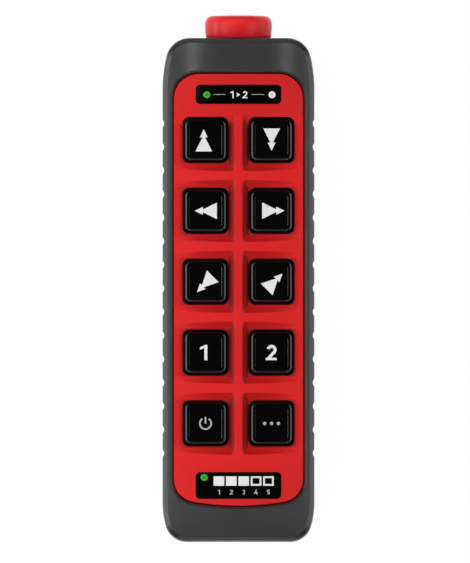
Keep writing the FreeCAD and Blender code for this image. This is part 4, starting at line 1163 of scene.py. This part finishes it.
for name, place, across, along, radiance in studio["lights"]:
    lamp = bpy.data.lights.new(name, "AREA")
    lamp.shape = "RECTANGLE"
    lamp.size = across
    lamp.size_y = along
    lamp.energy = radiance * math.pi * across * along
    holder = bpy.data.objects.new(name, lamp)
    holder.location = place
    toObject = (Vector((0, 0, 0.03)) - Vector(place)).normalized()
    if abs(place[0]) > abs(place[1]):
        holder.rotation_euler = (0, math.atan2(-toObject.x, -toObject.z), 0)
    else:
        holder.rotation_euler = (math.atan2(toObject.y, -toObject.z), 0, 0)
    holder.visible_camera = False
    bpy.context.scene.collection.objects.link(holder)

world = bpy.data.worlds.new("studioWorld")
bpy.context.scene.world = world
world.use_nodes = True
tree = world.node_tree
upward = axisOf(tree, tree.nodes.new("ShaderNodeTexCoord").outputs["Generated"], "Z")
tree.links.new(stepped(tree, upward, studio["sky"]), tree.nodes["Background"].inputs["Color"])

floorMesh = bpy.data.meshes.new("studioFloor")
floorMesh.from_pydata([(-3, -3, 0), (3, -3, 0), (3, 3, 0), (-3, 3, 0)], [], [(0, 1, 2, 3)])
floor = bpy.data.objects.new("studioFloor", floorMesh)
floor.location.z = -0.0002
bpy.context.scene.collection.objects.link(floor)
floorMat = bpy.data.materials.new("paleFloor")
floorMat.use_nodes = True
tree = floorMat.node_tree
tree.nodes.clear()
out = tree.nodes.new("ShaderNodeOutputMaterial")
blend = tree.nodes.new("ShaderNodeMixShader")
paper = tree.nodes.new("ShaderNodeBsdfDiffuse")
paper.inputs["Color"].default_value = (*studio["paper"], 1)
glow = tree.nodes.new("ShaderNodeEmission")
glow.inputs["Color"].default_value = (1, 1, 1, 1)
glow.inputs["Strength"].default_value = studio["floorGlow"]
path = tree.nodes.new("ShaderNodeLightPath")
seen = worked(tree, "MAXIMUM", path.outputs["Is Camera Ray"], path.outputs["Is Transmission Ray"])
seen = worked(tree, "MAXIMUM", seen, path.outputs["Is Glossy Ray"])
tree.links.new(worked(tree, "MULTIPLY", seen, studio["floorMix"]), blend.inputs[0])
tree.links.new(paper.outputs[0], blend.inputs[1])
tree.links.new(glow.outputs[0], blend.inputs[2])
# from below the floor is clear, and it holds back no light from there
clear = tree.nodes.new("ShaderNodeBsdfTransparent")
side = tree.nodes.new("ShaderNodeNewGeometry")
letThrough = worked(tree, "MAXIMUM", side.outputs["Backfacing"], path.outputs["Is Shadow Ray"])
surface = tree.nodes.new("ShaderNodeMixShader")
tree.links.new(letThrough, surface.inputs[0])
tree.links.new(blend.outputs[0], surface.inputs[1])
tree.links.new(clear.outputs[0], surface.inputs[2])
tree.links.new(surface.outputs[0], out.inputs["Surface"])
floorMesh.materials.append(floorMat)

# millimetres; seenTall is the height of the picture at the key plane
shot = {"aimX": -1.48, "aimY": 3.59, "keyPlane": 40.0, "distance": 6000.0, "seenTall": 238.7,
        "sensor": 36.0}
camera = bpy.data.cameras.new("photoCamera")
camera.sensor_fit = "VERTICAL"
camera.sensor_height = shot["sensor"]
camera.lens = shot["sensor"] * shot["distance"] / shot["seenTall"]
camera.clip_end = 20.0
eye = bpy.data.objects.new("photoCamera", camera)
eye.location = (shot["aimX"] * mm, shot["aimY"] * mm, (shot["keyPlane"] + shot["distance"]) * mm)
bpy.context.scene.collection.objects.link(eye)
bpy.context.scene.camera = eye
bpy.context.scene.view_settings.view_transform = "Standard"
print("studio set")
